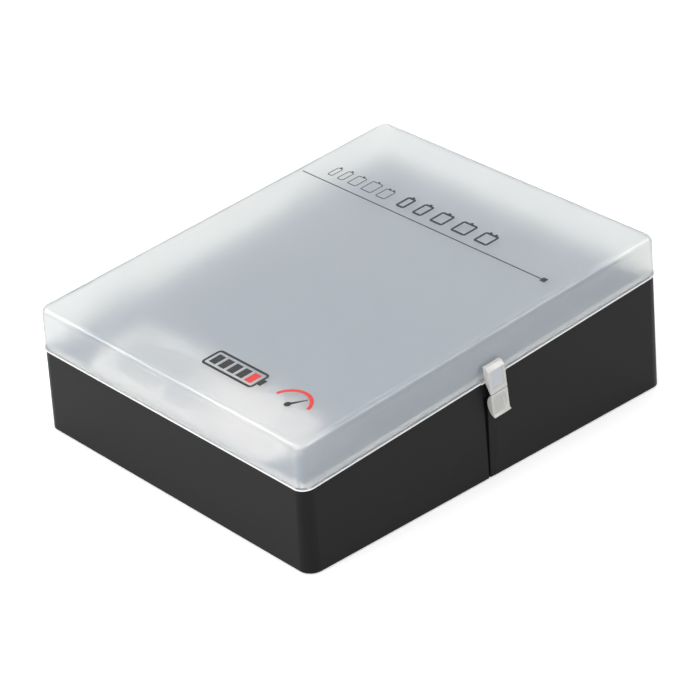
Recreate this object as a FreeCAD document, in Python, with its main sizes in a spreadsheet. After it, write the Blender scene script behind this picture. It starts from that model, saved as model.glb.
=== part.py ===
import FreeCAD, Part
import math
import os
import Sketcher

# Battery storage case with a sloping lid and a built-in cell tester.
# +X runs from the low end to the tall end, the latch side faces -Y, the hinge side +Y.
# Millimetres and degrees. Z is zero on the surface that the rubber feet stand on.

SIZES = {
    # Envelope of the closed case
    "case_length": 220.0,
    "case_width": 186.0,
    "corner_radius": 6.5,
    "wall_draft": 1.0,
    "rim_low": 42.1,
    "rim_tall": 58.8,
    "top_low": 64.2,
    "top_tall": 79.4,
    # Base shell
    "base_wall": 2.4,
    "foot_stand": 0.6,
    "ledge_width": 1.7,
    "ledge_height": 2.0,
    "boss_radius": 3.6,
    "boss_height": 11.4,
    "boss_inset_x": 8.6,
    "boss_inset_y": 8.6,
    "gusset": 1.6,
    # Finger groove below the latch
    "groove_shift": 4.8,
    "groove_width": 2.6,
    "groove_depth": 1.8,
    "groove_shoulder": 0.4,
    "groove_ramp": 9.0,
    "groove_ramp_depth": 0.35,
    "groove_foot_scale": 0.4,
    "groove_start": 0.4,
    # Bottom cover, its screws and the feet
    "cover_thickness": 2.0,
    "cover_recess": 1.4,
    "cover_clearance": 0.3,
    "screw_radius": 1.4,
    "screw_length": 12.0,
    "screw_head_radius": 2.8,
    "screw_head_height": 1.4,
    "screw_fit": 0.05,
    "drill_over": 1.0,
    "foot_radius": 6.5,
    "foot_inset": 18.0,
    # Lid
    "lid_wall": 1.8,
    "lid_roof": 2.0,
    "lid_edge_radius": 3.8,
    "lid_inner_radius": 2.0,
    "bead_proud": 0.5,
    "bead_height": 1.3,
    "lip_clearance": 0.35,
    "lip_width": 1.0,
    "lip_depth": 2.2,
    # Hinge
    "hinge_offset": 3.4,
    "hinge_drop": 1.3,
    "hinge_arm": 3.0,
    "hinge_radius": 2.6,
    "hinge_spread": 62.0,
    "lid_knuckle": 14.0,
    "base_knuckle": 7.0,
    "knuckle_gap": 0.3,
    "pin_radius": 1.0,
    "pin_fit": 0.05,
    # Latch
    "latch_x": 2.2,
    "latch_width": 10.0,
    "latch_seat": 0.1,
    "plate_top": 7.8,
    "plate_thickness": 3.7,
    "plate_chamfer": 1.9,
    "waist_drop": 5.9,
    "waist_gap": 0.3,
    "waist_depth": 0.7,
    "hook_drop": 2.0,
    "flap_tip": 17.6,
    "flap_back": 0.4,
    "flap_curve": 6.9,
    "lip_proud": 0.8,
    "lip_thickness": 1.0,
    "scoop_radius": 7.0,
    "scoop_depth": 0.9,
    "window_depth": 0.6,
    "window_border": 1.3,
    "window_band": 2.4,
    "peg_radius": 1.2,
    "peg_height": 4.7,
    "peg_spread": 2.6,
    "lug_width": 2.2,
    "lug_height": 2.0,
    "lug_proud": 1.2,
    "lug_rise": 0.1,
    "catch_proud": 0.8,
    "catch_drop": 0.4,
    "catch_height": 1.1,
    # Cell tray
    "deck_drop": 3.0,
    "deck_thickness": 2.0,
    "tray_clearance": 0.35,
    "tray_floor": 1.8,
    "tray_stand": 0.2,
    "cup_wall": 1.6,
    "web": 2.4,
    "well_radius": 1.5,
    "aa_length": 52.0,
    "aa_radius": 7.35,
    "aaa_length": 46.0,
    "aaa_radius": 5.5,
    "ridge_width": 0.1,
    "ridge_height": 3.5,
    "block_cell_width": 18.2,
    "block_cell_length": 27.0,
    "c_radius": 13.5,
    "c_gap": 2.0,
    "d_radius": 17.5,
    "d_gap": 8.5,
    "end_margin": 7.5,
    "side_margin": 5.0,
    "coin_length": 36.0,
    "coin_width": 12.6,
    "coin_depth": 14.0,
    "coin_inset": 12.6,
    "coin_margin": 7.0,
    "coin_gap": 0.4,
    # Tester: the size across the slope is its depth, the size along Y its width
    "tester_depth": 38.0,
    "tester_width": 132.0,
    "tester_height": 22.0,
    "tester_margin": 7.0,
    "tester_front": 30.5,
    "tester_gap": 0.3,
    "tester_proud": 1.2,
    "tester_plate": 2.6,
    "tester_wall": 1.6,
    "tester_corner": 12.0,
    "tester_edge": 0.7,
    "cradle_radius": 17.3,
    "cradle_rise": 12.0,
    "cradle_wall": 1.6,
    "cradle_margin": 10.4,
    "cradle_gap": 1.4,
    "contact_width": 10.0,
    "contact_thickness": 0.5,
    "contact_top": 9.0,
    "contact_clearance": 0.1,
    "backing_margin": 2.0,
    "backing_thickness": 2.4,
    "contact_inset": 2.0,
    "slider_inset": 6.0,
    "slider_travel": 18.5,
    "slider_width": 12.0,
    "slider_length": 6.0,
    "slider_top": 10.0,
    "slider_stem": 2.4,
    "slider_lift": 1.4,
    "shoe_thickness": 1.2,
    "shoe_width": 7.0,
    "slider_fit": 0.3,
    "stud_radius": 3.2,
    "stud_height": 1.2,
    "stud_spacing": 12.7,
    "rivet_radius": 2.2,
    "rivet_end": 1.0,
    "stud_margin": 5.5,
    "dial_margin": 11.6,
    "dial_width": 34.0,
    "dial_depth": 25.0,
    "lens_lap": 1.6,
    "lens_thickness": 1.0,
    "card_drop": 4.2,
    "card_thickness": 0.4,
    "needle_width": 0.9,
    "needle_thickness": 0.6,
    "needle_hub": 2.4,
    "needle_rise": 1.0,
    "needle_start": -40.0,
    "pivot_inset": 3.0,
    "pivot_radius": 0.6,
    "pivot_fit": 0.1,
    "pivot_depth": 3.0,
    "movement_length": 30.0,
    "card_overhang": 3.0,
    "movement_depth": 26.0,
    "board_length": 48.0,
    "board_depth": 28.0,
    "board_thickness": 1.6,
    "board_rise": 3.4,
    "board_margin": 8.5,
    "standoff_radius": 2.0,
    "resistor_radius": 1.6,
    "resistor_length": 9.0,
    "resistor_spacing": 8.0,
    "lead_width": 0.7,
    "lead_reach": 2.0,
    "case_screw_radius": 1.1,
    "case_screw_length": 13.0,
    "case_screw_head": 2.0,
    "case_screw_head_height": 1.4,
    "pillar_gap": 0.5,
    "case_boss_radius": 2.8,
    "case_boss_height": 6.4,
    "boss_joint": 0.1,
}

doc = FreeCAD.newDocument("battery_case")
sheet = doc.addObject("Spreadsheet::Sheet", "Sizes")
for row, (alias, number) in enumerate(SIZES.items(), start=1):
    sheet.set(f"A{row}", alias)
    sheet.set(f"B{row}", str(number))
    sheet.setAlias(f"B{row}", alias)
doc.recompute()


def sized(text):
    """Turns plain size names in an expression into references to the sheet."""
    for name in sorted(SIZES, key=len, reverse=True):
        text = text.replace(name, f"<<{list(SIZES).index(name)}>>")
    for index, name in enumerate(SIZES):
        text = text.replace(f"<<{index}>>", f"Sizes.{name}")
    return text


def value(text):
    """The number that an expression of size names gives."""
    result = sheet.evalExpression(sized(str(text)))
    return float(getattr(result, "Value", result))


def bind(obj, prop, text):
    """Ties a property to the sheet."""
    obj.setExpression(prop, sized(str(text)))


def slope(low, tall, along):
    """Height at one place along X of a plane that climbs from the low end to the tall end."""
    return f"(({low}) + (({along}) + case_length / 2) * (({tall}) - ({low})) / case_length)"


RIM = ("rim_low", "rim_tall")
ROOF = ("top_low", "top_tall")
CEILING = ("top_low - lid_roof", "top_tall - lid_roof")
DECK = ("rim_low - deck_drop", "rim_tall - deck_drop")
STOCK = "(2 * top_tall)"
FAR = "case_length"
TOLERANCE = 1e-4
COVER_BOTTOM = "foot_stand + cover_recess"
COVER_TOP = "foot_stand + cover_recess + cover_thickness"
CUP_BOTTOM = COVER_TOP + " + tray_stand"
WELL_FLOOR = CUP_BOTTOM + " + tray_floor"


def lowered(plane, drop):
    """The same sloping plane, lower by a distance."""
    return tuple(f"{edge} - ({drop})" for edge in plane)


def how_many(room, pitch):
    """How many places of one pitch the room holds."""
    return int(value(f"({room}) / ({pitch})") + TOLERANCE)


# ---------------------------------------------------------------- sketch helpers


def new_body(name):
    return doc.addObject("PartDesign::Body", name)


def new_sketch(body, role, name, offset="0"):
    """A sketch on one of its body's own origin planes, moved along the plane's normal."""
    sketch = body.newObject("Sketcher::SketchObject", name)
    plane = next(face for face in body.Origin.OriginFeatures if face.Role == role)
    sketch.AttachmentSupport = [(plane, "")]
    sketch.MapMode = "FlatFace"
    bind(sketch, "AttachmentOffset.Base.z", offset)
    return sketch


def fix_point(sketch, geometry, point, along, up):
    """Holds a point at a distance from the sketch's origin along both of its axes."""
    for kind, text in (("DistanceX", along), ("DistanceY", up)):
        index = sketch.addConstraint(
            Sketcher.Constraint(kind, -1, 1, geometry, point, value(text))
        )
        bind(sketch, f"Constraints[{index}]", text)


def polygon(sketch, corners):
    """A closed outline of straight edges through corners given as pairs of expressions."""
    points = [FreeCAD.Vector(value(along), value(up), 0) for along, up in corners]
    count = len(corners)
    for index in range(count):
        sketch.addGeometry(
            Part.LineSegment(points[index], points[(index + 1) % count]), False
        )
    for index, (along, up) in enumerate(corners):
        following = (index + 1) % count
        sketch.addConstraint(Sketcher.Constraint("Coincident", index, 2, following, 1))
        fix_point(sketch, index, 1, along, up)


def rounded_rectangle(sketch, length, width, radius, along="0", up="0"):
    """A rectangle with equal corner arcs, centred at a place in the sketch."""
    left, right = f"({along}) - ({length}) / 2", f"({along}) + ({length}) / 2"
    bottom, top = f"({up}) - ({width}) / 2", f"({up}) + ({width}) / 2"
    x0, x1, y0, y1 = value(left), value(right), value(bottom), value(top)
    curve = value(radius)
    vector, normal = FreeCAD.Vector, FreeCAD.Vector(0, 0, 1)
    sides = (
        (vector(x0 + curve, y0, 0), vector(x1 - curve, y0, 0)),
        (vector(x1, y0 + curve, 0), vector(x1, y1 - curve, 0)),
        (vector(x1 - curve, y1, 0), vector(x0 + curve, y1, 0)),
        (vector(x0, y1 - curve, 0), vector(x0, y0 + curve, 0)),
    )
    centres = (
        vector(x1 - curve, y0 + curve, 0),
        vector(x1 - curve, y1 - curve, 0),
        vector(x0 + curve, y1 - curve, 0),
        vector(x0 + curve, y0 + curve, 0),
    )
    quarter = math.pi / 2
    lines = [sketch.addGeometry(Part.LineSegment(*side), False) for side in sides]
    arcs = []
    for index, centre in enumerate(centres):
        start = (index - 1) * quarter
        arc = Part.ArcOfCircle(Part.Circle(centre, normal, curve), start, start + quarter)
        arcs.append(sketch.addGeometry(arc, False))
    for index in range(len(lines)):
        following = lines[(index + 1) % len(lines)]
        sketch.addConstraint(Sketcher.Constraint("Tangent", lines[index], 2, arcs[index], 1))
        sketch.addConstraint(Sketcher.Constraint("Tangent", arcs[index], 2, following, 1))
        direction = "Vertical" if index % 2 else "Horizontal"
        sketch.addConstraint(Sketcher.Constraint(direction, lines[index]))
        if index:
            sketch.addConstraint(Sketcher.Constraint("Equal", arcs[0], arcs[index]))
    held = (
        ("Radius", (arcs[0],), radius),
        ("DistanceX", (-1, 1, lines[3], 1), left),
        ("DistanceX", (-1, 1, lines[1], 1), right),
        ("DistanceY", (-1, 1, lines[0], 1), bottom),
        ("DistanceY", (-1, 1, lines[2], 1), top),
    )
    for kind, elements, text in held:
        number = sketch.addConstraint(Sketcher.Constraint(kind, *elements, value(text)))
        bind(sketch, f"Constraints[{number}]", text)


def add_pad(body, sketch, name, length, draft=None, symmetric=False):
    pad = body.newObject("PartDesign::Pad", name)
    pad.Profile = sketch
    if symmetric:
        pad.SideType = "Symmetric"
    bind(pad, "Length", length)
    if draft:
        bind(pad, "TaperAngle", draft)
    return pad


def add_pocket_through(body, sketch, name):
    """Cuts a profile away across the whole body, both ways from its plane."""
    pocket = body.newObject("PartDesign::Pocket", name)
    pocket.Profile = sketch
    pocket.SideType = "Symmetric"
    pocket.Type = "ThroughAll"
    doc.recompute()
    return pocket


# ---------------------------------------------------------------- solid helpers


def drafted_block(name, inset):
    """The case's plan outline, inset and pulled up with the mould's draft."""
    body = new_body(name)
    sketch = new_sketch(body, "XY_Plane", name + "_outline")
    rounded_rectangle(
        sketch,
        f"case_length - 2 * ({inset})",
        f"case_width - 2 * ({inset})",
        f"max(corner_radius - ({inset}); corner_radius / 4)",
    )
    add_pad(body, sketch, name + "_pad", STOCK, "-wall_draft")
    return body


def sloping_slab(name, lower, upper):
    """The space between two planes that climb along X, wider than the case."""
    body = new_body(name)
    sketch = new_sketch(body, "XZ_Plane", name + "_side")
    corners = [
        (f"-{FAR}", slope(*lower, f"-{FAR}")),
        (FAR, slope(*lower, FAR)),
        (FAR, slope(*upper, FAR)),
        (f"-{FAR}", slope(*upper, f"-{FAR}")),
    ]
    polygon(sketch, corners)
    add_pad(body, sketch, name + "_pad", "2 * case_width", symmetric=True)
    return body


def boolean(kind, name, *shapes):
    """Part boolean of two or more objects."""
    if kind == "Cut":
        result = doc.addObject("Part::Cut", name)
        result.Base, result.Tool = shapes
    else:
        result = doc.addObject("Part::Multi" + kind, name)
        result.Shapes = list(shapes)
    result.Refine = True
    return result


def fuse(name, *shapes):
    return boolean("Fuse", name, *shapes)


def common(name, *shapes):
    return boolean("Common", name, *shapes)


def cut(name, base, tool):
    return boolean("Cut", name, base, tool)


def ring(name, outer_inset, inner_inset, lower, upper):
    """A band of wall that follows the case's outline between two sloping planes."""
    outer = drafted_block(name + "_outer", outer_inset)
    inner = drafted_block(name + "_inner", inner_inset)
    slab = sloping_slab(name + "_slab", lower, upper)
    return common(name, cut(name + "_wall", outer, inner), slab)


def place(obj, frame, along="0", across="0", up="0", rotation=None):
    """Sets an object at a place of a frame, turned within it where that is asked."""
    spot = FreeCAD.Vector(value(along), value(across), value(up))
    local = FreeCAD.Placement(spot, rotation or FreeCAD.Rotation())
    obj.Placement = frame.multiply(local)
    if frame is WORLD:
        for letter, text in (("x", along), ("y", across), ("z", up)):
            bind(obj, f"Placement.Base.{letter}", text)
    return obj


def box(name, frame, length, width, height, along="0", across="0", up="0"):
    """A box centred on a place along X and Y, that stands on it along Z."""
    solid = doc.addObject("Part::Box", name)
    bind(solid, "Length", length)
    bind(solid, "Width", width)
    bind(solid, "Height", height)
    corner = (f"({along}) - ({length}) / 2", f"({across}) - ({width}) / 2", up)
    return place(solid, frame, *corner)


def cylinder(name, frame, radius, height, along="0", across="0", up="0", axis="Z"):
    """A cylinder that starts at a place and runs along one axis of the frame."""
    solid = doc.addObject("Part::Cylinder", name)
    bind(solid, "Radius", radius)
    bind(solid, "Height", height)
    turns = {
        "Z": FreeCAD.Rotation(),
        "X": FreeCAD.Rotation(FreeCAD.Vector(0, 1, 0), 90),
        "Y": FreeCAD.Rotation(FreeCAD.Vector(1, 0, 0), -90),
    }
    return place(solid, frame, along, across, up, turns[axis])


def profile(name, frame, width, corners, along="0"):
    """A side profile in the frame's Y and Z, as thick as width along its X."""
    body = new_body(name)
    sketch = new_sketch(body, "YZ_Plane", name + "_profile")
    polygon(sketch, corners)
    add_pad(body, sketch, name + "_pad", width, symmetric=True)
    return place(body, frame, along)


def rounded_prism(name, frame, length, width, height, radius, along="0", across="0", up="0"):
    """A plate with rounded plan corners, standing on a place of the frame."""
    body = new_body(name)
    sketch = new_sketch(body, "XY_Plane", name + "_outline", up)
    rounded_rectangle(sketch, length, width, radius, along, across)
    add_pad(body, sketch, name + "_pad", height)
    return place(body, frame)


WORLD = FreeCAD.Placement()
TILT = math.degrees(math.atan(value("(rim_tall - rim_low) / case_length")))


def sloping_frame(plane, along, across):
    """A frame on a sloping plane whose X climbs with it and whose Y is the case's Y."""
    height = value(slope(*plane, along))
    spot = FreeCAD.Vector(value(along), value(across), height)
    return FreeCAD.Placement(spot, FreeCAD.Rotation(FreeCAD.Vector(0, 1, 0), -TILT))


def wall_at_rim(along):
    """Distance of the long walls' outer face from the middle, at the rim."""
    return f"(case_width / 2 - tan(wall_draft) * {slope(*RIM, along)})"


BACK = sloping_frame(lowered(RIM, "hinge_drop"), "0", f"{wall_at_rim('0')} + hinge_offset")
LEAN = FreeCAD.Placement(
    FreeCAD.Vector(), FreeCAD.Rotation(FreeCAD.Vector(1, 0, 0), -value("wall_draft"))
)
LATCH = sloping_frame(RIM, "latch_x", f"-{wall_at_rim('latch_x')}").multiply(LEAN)
TESTER_X = "(-case_length / 2 + tester_margin + tester_depth / 2)"
COIN_Y = "(case_width / 2 - coin_margin - coin_width / 2)"
BESIDE_FRONT = "(-case_width / 2 + tester_front + tester_width / 2)"
BESIDE_COINS = (
    f"({COIN_Y} - coin_width / 2 - coin_gap - 2 * cup_wall - tester_gap - tester_width / 2)"
)
TESTER_Y = f"min({BESIDE_FRONT}; {BESIDE_COINS})"
TESTER = sloping_frame(DECK, TESTER_X, TESTER_Y)

parts = []


def keep(obj, node):
    """Names a finished sub-part, which is written to a file of that name."""
    obj.Label = node
    parts.append(obj)
    return obj


# ---------------------------------------------------------------- hinge stations

HINGE_SIDES = (("low", "-hinge_spread"), ("tall", "hinge_spread"))


def hinge_eye(name, station, length):
    """A hinge eye round the pin, on one station."""
    start = f"({station}) - ({length}) / 2"
    return cylinder(name, BACK, "hinge_radius", length, start, axis="X")


def base_knuckle(name, station):
    """An eye of the base on a web that joins it to the wall under the rim."""
    reach = "(hinge_offset + base_wall / 2)"
    web = box(
        name + "_web", BACK, "base_knuckle", reach, "hinge_radius", station,
        f"-{reach} / 2", "-hinge_radius",
    )
    return [hinge_eye(name + "_eye", station, "base_knuckle"), web]


def lid_knuckle(name, station):
    """An eye of the lid on an arm that climbs past the rim and turns into the lid's wall."""
    outer, inner = "pin_radius", "(hinge_offset - knuckle_gap)"
    arm = box(
        name + "_arm", BACK, "lid_knuckle", f"{inner} + {outer}", "hinge_drop + hinge_arm",
        station, f"({outer} - {inner}) / 2",
    )
    root = "(hinge_offset + lid_wall / 2)"
    foot = box(
        name + "_foot", BACK, "lid_knuckle", f"{root} + {outer}", "hinge_arm - lug_rise",
        station, f"({outer} - {root}) / 2", "hinge_drop + lug_rise",
    )
    return [hinge_eye(name + "_eye", station, "lid_knuckle"), arm, foot]


def hinge_bore(name, radius):
    """Both stations' pin holes, as long as the knuckles."""
    length = "lid_knuckle + 2 * (base_knuckle + knuckle_gap + drill_over)"
    bores = [
        cylinder(f"{name}_{side}", BACK, radius, length, f"({spot}) - ({length}) / 2", axis="X")
        for side, spot in HINGE_SIDES
    ]
    return bores


# ---------------------------------------------------------------- base shell


def corner_places(inset_x, inset_y):
    """The four places set in from the corners of the case's foot."""
    along, across = f"(case_length / 2 - {inset_x})", f"(case_width / 2 - {inset_y})"
    return [(f"{i}*{along}", f"{j}*{across}") for i in (-1, 1) for j in (-1, 1)]


def screw_boss(index, along, across):
    """A boss that stands on the bottom cover, tied to both walls by gussets."""
    name = f"boss_{index}"
    side_x, side_y = (1 if value(place_) > 0 else -1 for place_ in (along, across))
    post = cylinder(name + "_post", WORLD, "boss_radius", "boss_height", along, across, COVER_TOP)
    reach_x, reach_y = "(boss_inset_x - base_wall / 2)", "(boss_inset_y - base_wall / 2)"
    rib_x = box(
        name + "_rib_x", WORLD, reach_x, "gusset", "boss_height",
        f"{along} + {side_x} * {reach_x} / 2", across, COVER_TOP,
    )
    rib_y = box(
        name + "_rib_y", WORLD, "gusset", reach_y, "boss_height",
        along, f"{across} + {side_y} * {reach_y} / 2", COVER_TOP,
    )
    return [post, rib_x, rib_y]


CATCH_TOP = "(waist_drop + catch_drop)"
GROOVE_X = "(latch_x - groove_shift)"


def groove_section(scale, along):
    """Outline of the finger groove at one height: a steep flank, a slot and a long ramp."""
    wall = f"-(case_width / 2 - tan(wall_draft) * ({along}))"
    out = f"{wall} - drill_over"
    left = f"{GROOVE_X} - groove_width / 2 * {scale}"
    right = f"{GROOVE_X} + groove_width / 2 * {scale}"
    end = f"{GROOVE_X} + groove_ramp * {scale}"
    return [
        (left, out),
        (end, out),
        (end, wall),
        (f"{right} + groove_shoulder * {scale}", f"{wall} + groove_ramp_depth * {scale}"),
        (right, f"{wall} + groove_depth * {scale}"),
        (left, f"{wall} + groove_depth * {scale}"),
    ]


def finger_groove():
    """The groove under the latch, deepest at the top and running out at the foot."""
    body = new_body("finger_groove")
    upper = f"({slope(*RIM, GROOVE_X)} - {CATCH_TOP} - catch_height - groove_start)"
    sketches = []
    for name, height, scale in (("foot", "0", "groove_foot_scale"), ("head", upper, "1")):
        sketch = new_sketch(body, "XY_Plane", "groove_" + name, height)
        polygon(sketch, groove_section(scale, height))
        sketches.append(sketch)
    loft = body.newObject("PartDesign::AdditiveLoft", "groove_loft")
    loft.Profile = sketches[0]
    loft.Sections = [sketches[1]]
    loft.Ruled = True
    return body


def latch_catch():
    """The ledge on the wall that the latch's hook snaps under."""
    corners = [
        ("base_wall / 2", f"-{CATCH_TOP}"),
        ("base_wall / 2", f"-({CATCH_TOP} + catch_height)"),
        ("-catch_proud", f"-({CATCH_TOP} + catch_height)"),
        ("-catch_proud", f"-({CATCH_TOP} + catch_height / 2)"),
    ]
    return profile("latch_catch", LATCH, "latch_width - 2 * window_border", corners)


def make_base_shell():
    wall = ring("base_wall_ring", "0", "base_wall", ("foot_stand", "foot_stand"), RIM)
    seat = lowered(DECK, "deck_thickness")
    ledge_ring = ring(
        "ledge_ring", "base_wall / 2", "base_wall + ledge_width",
        lowered(seat, "ledge_height"), seat,
    )
    span = f"({C_CENTRE_X} + c_radius + cup_wall - {BAY_START} + 2 * cup_wall + web)"
    middle = f"({BAY_START} - 2 * cup_wall + {span} / 2)"
    ledge = cut(
        "tray_ledge", ledge_ring,
        box("ledge_break", WORLD, span, "case_width", STOCK, middle),
    )
    corners = corner_places("boss_inset_x", "boss_inset_y")
    solids = [wall, ledge, latch_catch()]
    for index, (along, across) in enumerate(corners):
        solids += screw_boss(index, along, across)
    arm = "lid_knuckle / 2 + knuckle_gap + base_knuckle / 2"
    for side, spot in HINGE_SIDES:
        for end in (-1, 1):
            solids += base_knuckle(
                f"base_knuckle_{side}_{end + 1}", f"({spot}) + {end} * ({arm})"
            )
    pilots = [
        cylinder(
            f"pilot_{index}", WORLD, "screw_radius + screw_fit", "screw_length + drill_over",
            along, across, COVER_BOTTOM,
        )
        for index, (along, across) in enumerate(corners)
    ]
    holes = pilots + hinge_bore("base_bore", "pin_radius + pin_fit") + [finger_groove()]
    return cut("base_shell_solid", fuse("base_shell_stock", *solids), fuse("base_holes", *holes))


# ---------------------------------------------------------------- bottom cover and its hardware


def make_bottom_cover():
    inset = "base_wall + cover_clearance"
    flat_low, flat_high = (COVER_BOTTOM, COVER_BOTTOM), (COVER_TOP, COVER_TOP)
    plate = common(
        "cover_plate", drafted_block("cover_outline", inset),
        sloping_slab("cover_slab", flat_low, flat_high),
    )
    holes = [
        cylinder(
            f"cover_hole_{index}", WORLD, "screw_radius + screw_fit",
            "cover_thickness + 2 * drill_over", along, across, f"{COVER_BOTTOM} - drill_over",
        )
        for index, (along, across) in enumerate(corner_places("boss_inset_x", "boss_inset_y"))
    ]
    return cut("bottom_cover_solid", plate, fuse("cover_holes", *holes))


def make_cover_screws():
    """Four pan-head screws, heads against the cover's underside."""
    solids = []
    for index, (along, across) in enumerate(corner_places("boss_inset_x", "boss_inset_y")):
        shank = cylinder(
            f"screw_shank_{index}", WORLD, "screw_radius", "screw_length",
            along, across, COVER_BOTTOM,
        )
        head = cylinder(
            f"screw_head_{index}", WORLD, "screw_head_radius", "screw_head_height",
            along, across, f"{COVER_BOTTOM} - screw_head_height",
        )
        solids += [shank, head]
    return fuse("cover_screw_set", *solids)


def make_feet():
    """Four rubber pads glued under the cover."""
    feet = [
        cylinder(f"foot_{index}", WORLD, "foot_radius", COVER_BOTTOM, along, across)
        for index, (along, across) in enumerate(corner_places("foot_inset", "foot_inset"))
    ]
    return fuse("foot_set", *feet)


# ---------------------------------------------------------------- cell tray

# Along X the tray holds, from the low end: the tester, the cell bays, the C wells, the D wells.
# Along Y the bays hold as many rows of AA cells as fit beside one of AAA and one of block cells.
AA_PITCH = "(2 * aa_radius + ridge_width)"
AAA_PITCH = "(2 * aaa_radius + ridge_width)"
C_PITCH = "(2 * c_radius + c_gap)"
D_PITCH = "(2 * d_radius + d_gap)"
ROOM_ACROSS = "(case_width - 2 * side_margin)"
BAY_START = f"({TESTER_X} + tester_depth / 2 + tester_gap + cup_wall + web)"
D_CENTRE_X = "(case_length / 2 - end_margin - d_radius)"
C_CENTRE_X = f"({D_CENTRE_X} - d_radius - web - c_radius)"
BAY_ROOM = f"({C_CENTRE_X} - c_radius - web - {BAY_START})"
AA_COLUMNS = how_many(BAY_ROOM, AA_PITCH)
BAY_LENGTH = f"({AA_COLUMNS} * {AA_PITCH})"
BAY_CENTRE = f"({BAY_START} + {BAY_ROOM} / 2)"
AAA_COLUMNS = how_many(BAY_LENGTH, AAA_PITCH)
BLOCK_COUNT = how_many(BAY_LENGTH, "block_cell_length + web")
C_COUNT = how_many(ROOM_ACROSS, C_PITCH)
D_COUNT = how_many(ROOM_ACROSS, D_PITCH)
OTHER_ROWS = "(aaa_length + web + block_cell_width)"
AA_ROW_COUNT = how_many(f"{ROOM_ACROSS} - {OTHER_ROWS}", "aa_length + web")
ROWS_WIDTH = f"({AA_ROW_COUNT} * (aa_length + web) + {OTHER_ROWS})"
AA_ROWS = [
    f"(-{ROWS_WIDTH} / 2 + {row} * (aa_length + web) + aa_length / 2)"
    for row in range(AA_ROW_COUNT)
]
AAA_ROW = f"({ROWS_WIDTH} / 2 - block_cell_width - web - aaa_length / 2)"
BLOCK_ROW = f"({ROWS_WIDTH} / 2 - block_cell_width / 2)"
COIN_X = "(-case_length / 2 + coin_inset + coin_length / 2)"


def row_places(count, pitch):
    """Places of a row of copies, centred on zero."""
    return [f"({index} - ({count} - 1) / 2) * {pitch}" for index in range(count)]


def scalloped_bay(name, row, length, pitch, radius, columns):
    """A bay with one half-round groove for each column of cells lying along Y."""
    floor = f"({WELL_FLOOR})"
    tools = [
        rounded_prism(
            name + "_well", WORLD, BAY_LENGTH, length, STOCK, "well_radius",
            BAY_CENTRE, row, f"{floor} + ridge_height",
        )
    ]
    for column, place_ in enumerate(row_places(columns, pitch)):
        tools.append(
            cylinder(
                f"{name}_groove_{column}", WORLD, radius, length,
                f"{BAY_CENTRE} + {place_}", f"{row} - {length} / 2",
                f"{floor} + {radius}", axis="Y",
            )
        )
    return tools


def make_cell_tray():
    deck = sloping_slab("deck_slab", lowered(DECK, "deck_thickness"), DECK)
    below_deck = sloping_slab("below_deck", ("0", "0"), DECK)
    base_of_cups, floor = f"({CUP_BOTTOM})", f"({WELL_FLOOR})"
    cups = [
        box(
            "bay_cup", WORLD, f"{BAY_LENGTH} + 2 * cup_wall", f"{ROWS_WIDTH} + 2 * cup_wall",
            STOCK, BAY_CENTRE, "0", base_of_cups,
        ),
        box(
            "coin_cup", WORLD, "coin_length + 2 * cup_wall", "coin_width + 2 * cup_wall",
            STOCK, COIN_X, COIN_Y, f"{slope(*DECK, COIN_X)} - coin_depth - tray_floor",
        ),
        box(
            "tester_cup", TESTER, "tester_depth + 2 * (tester_gap + cup_wall)",
            "tester_width + 2 * (tester_gap + cup_wall)", "tester_height + tray_floor",
            "0", "0", "-(tester_height + tray_floor)",
        ),
    ]
    tools = [
        rounded_prism(
            "coin_well", WORLD, "coin_length", "coin_width", STOCK, "well_radius",
            COIN_X, COIN_Y, f"{slope(*DECK, COIN_X)} - coin_depth",
        ),
        rounded_prism(
            "tester_well", TESTER, "tester_depth + 2 * tester_gap",
            "tester_width + 2 * tester_gap", STOCK, "tester_corner + tester_gap",
            "0", "0", "-tester_height",
        ),
    ]
    for index, row in enumerate(AA_ROWS):
        tools += scalloped_bay(
            f"aa_bay_{index}", row, "aa_length", AA_PITCH, "aa_radius", AA_COLUMNS
        )
    tools += scalloped_bay(
        "aaa_bay", AAA_ROW, "aaa_length", AAA_PITCH, "aaa_radius", AAA_COLUMNS
    )
    block_pitch = f"({BAY_LENGTH} / {BLOCK_COUNT})"
    for index, place_ in enumerate(row_places(BLOCK_COUNT, block_pitch)):
        tools.append(
            rounded_prism(
                f"block_well_{index}", WORLD, "block_cell_length", "block_cell_width",
                STOCK, "well_radius", f"{BAY_CENTRE} + {place_}", BLOCK_ROW, floor,
            )
        )
    wells = (
        ("c", C_CENTRE_X, "c_radius", C_COUNT, C_PITCH),
        ("d", D_CENTRE_X, "d_radius", D_COUNT, D_PITCH),
    )
    for name, along, radius, count, pitch in wells:
        for index, across in enumerate(row_places(count, pitch)):
            cups.append(
                cylinder(
                    f"{name}_cup_{index}", WORLD, f"{radius} + cup_wall", STOCK,
                    along, across, base_of_cups,
                )
            )
            tools.append(
                cylinder(f"{name}_well_{index}", WORLD, radius, STOCK, along, across, floor)
            )
    hanging = common("cups_under_deck", fuse("all_cups", *cups), below_deck)
    outline = drafted_block("tray_outline", "base_wall + tray_clearance")
    stock = common("tray_stock", fuse("deck_and_cups", deck, hanging), outline)
    return cut("cell_tray_solid", stock, fuse("tray_wells", *tools))


# ---------------------------------------------------------------- lid


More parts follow.
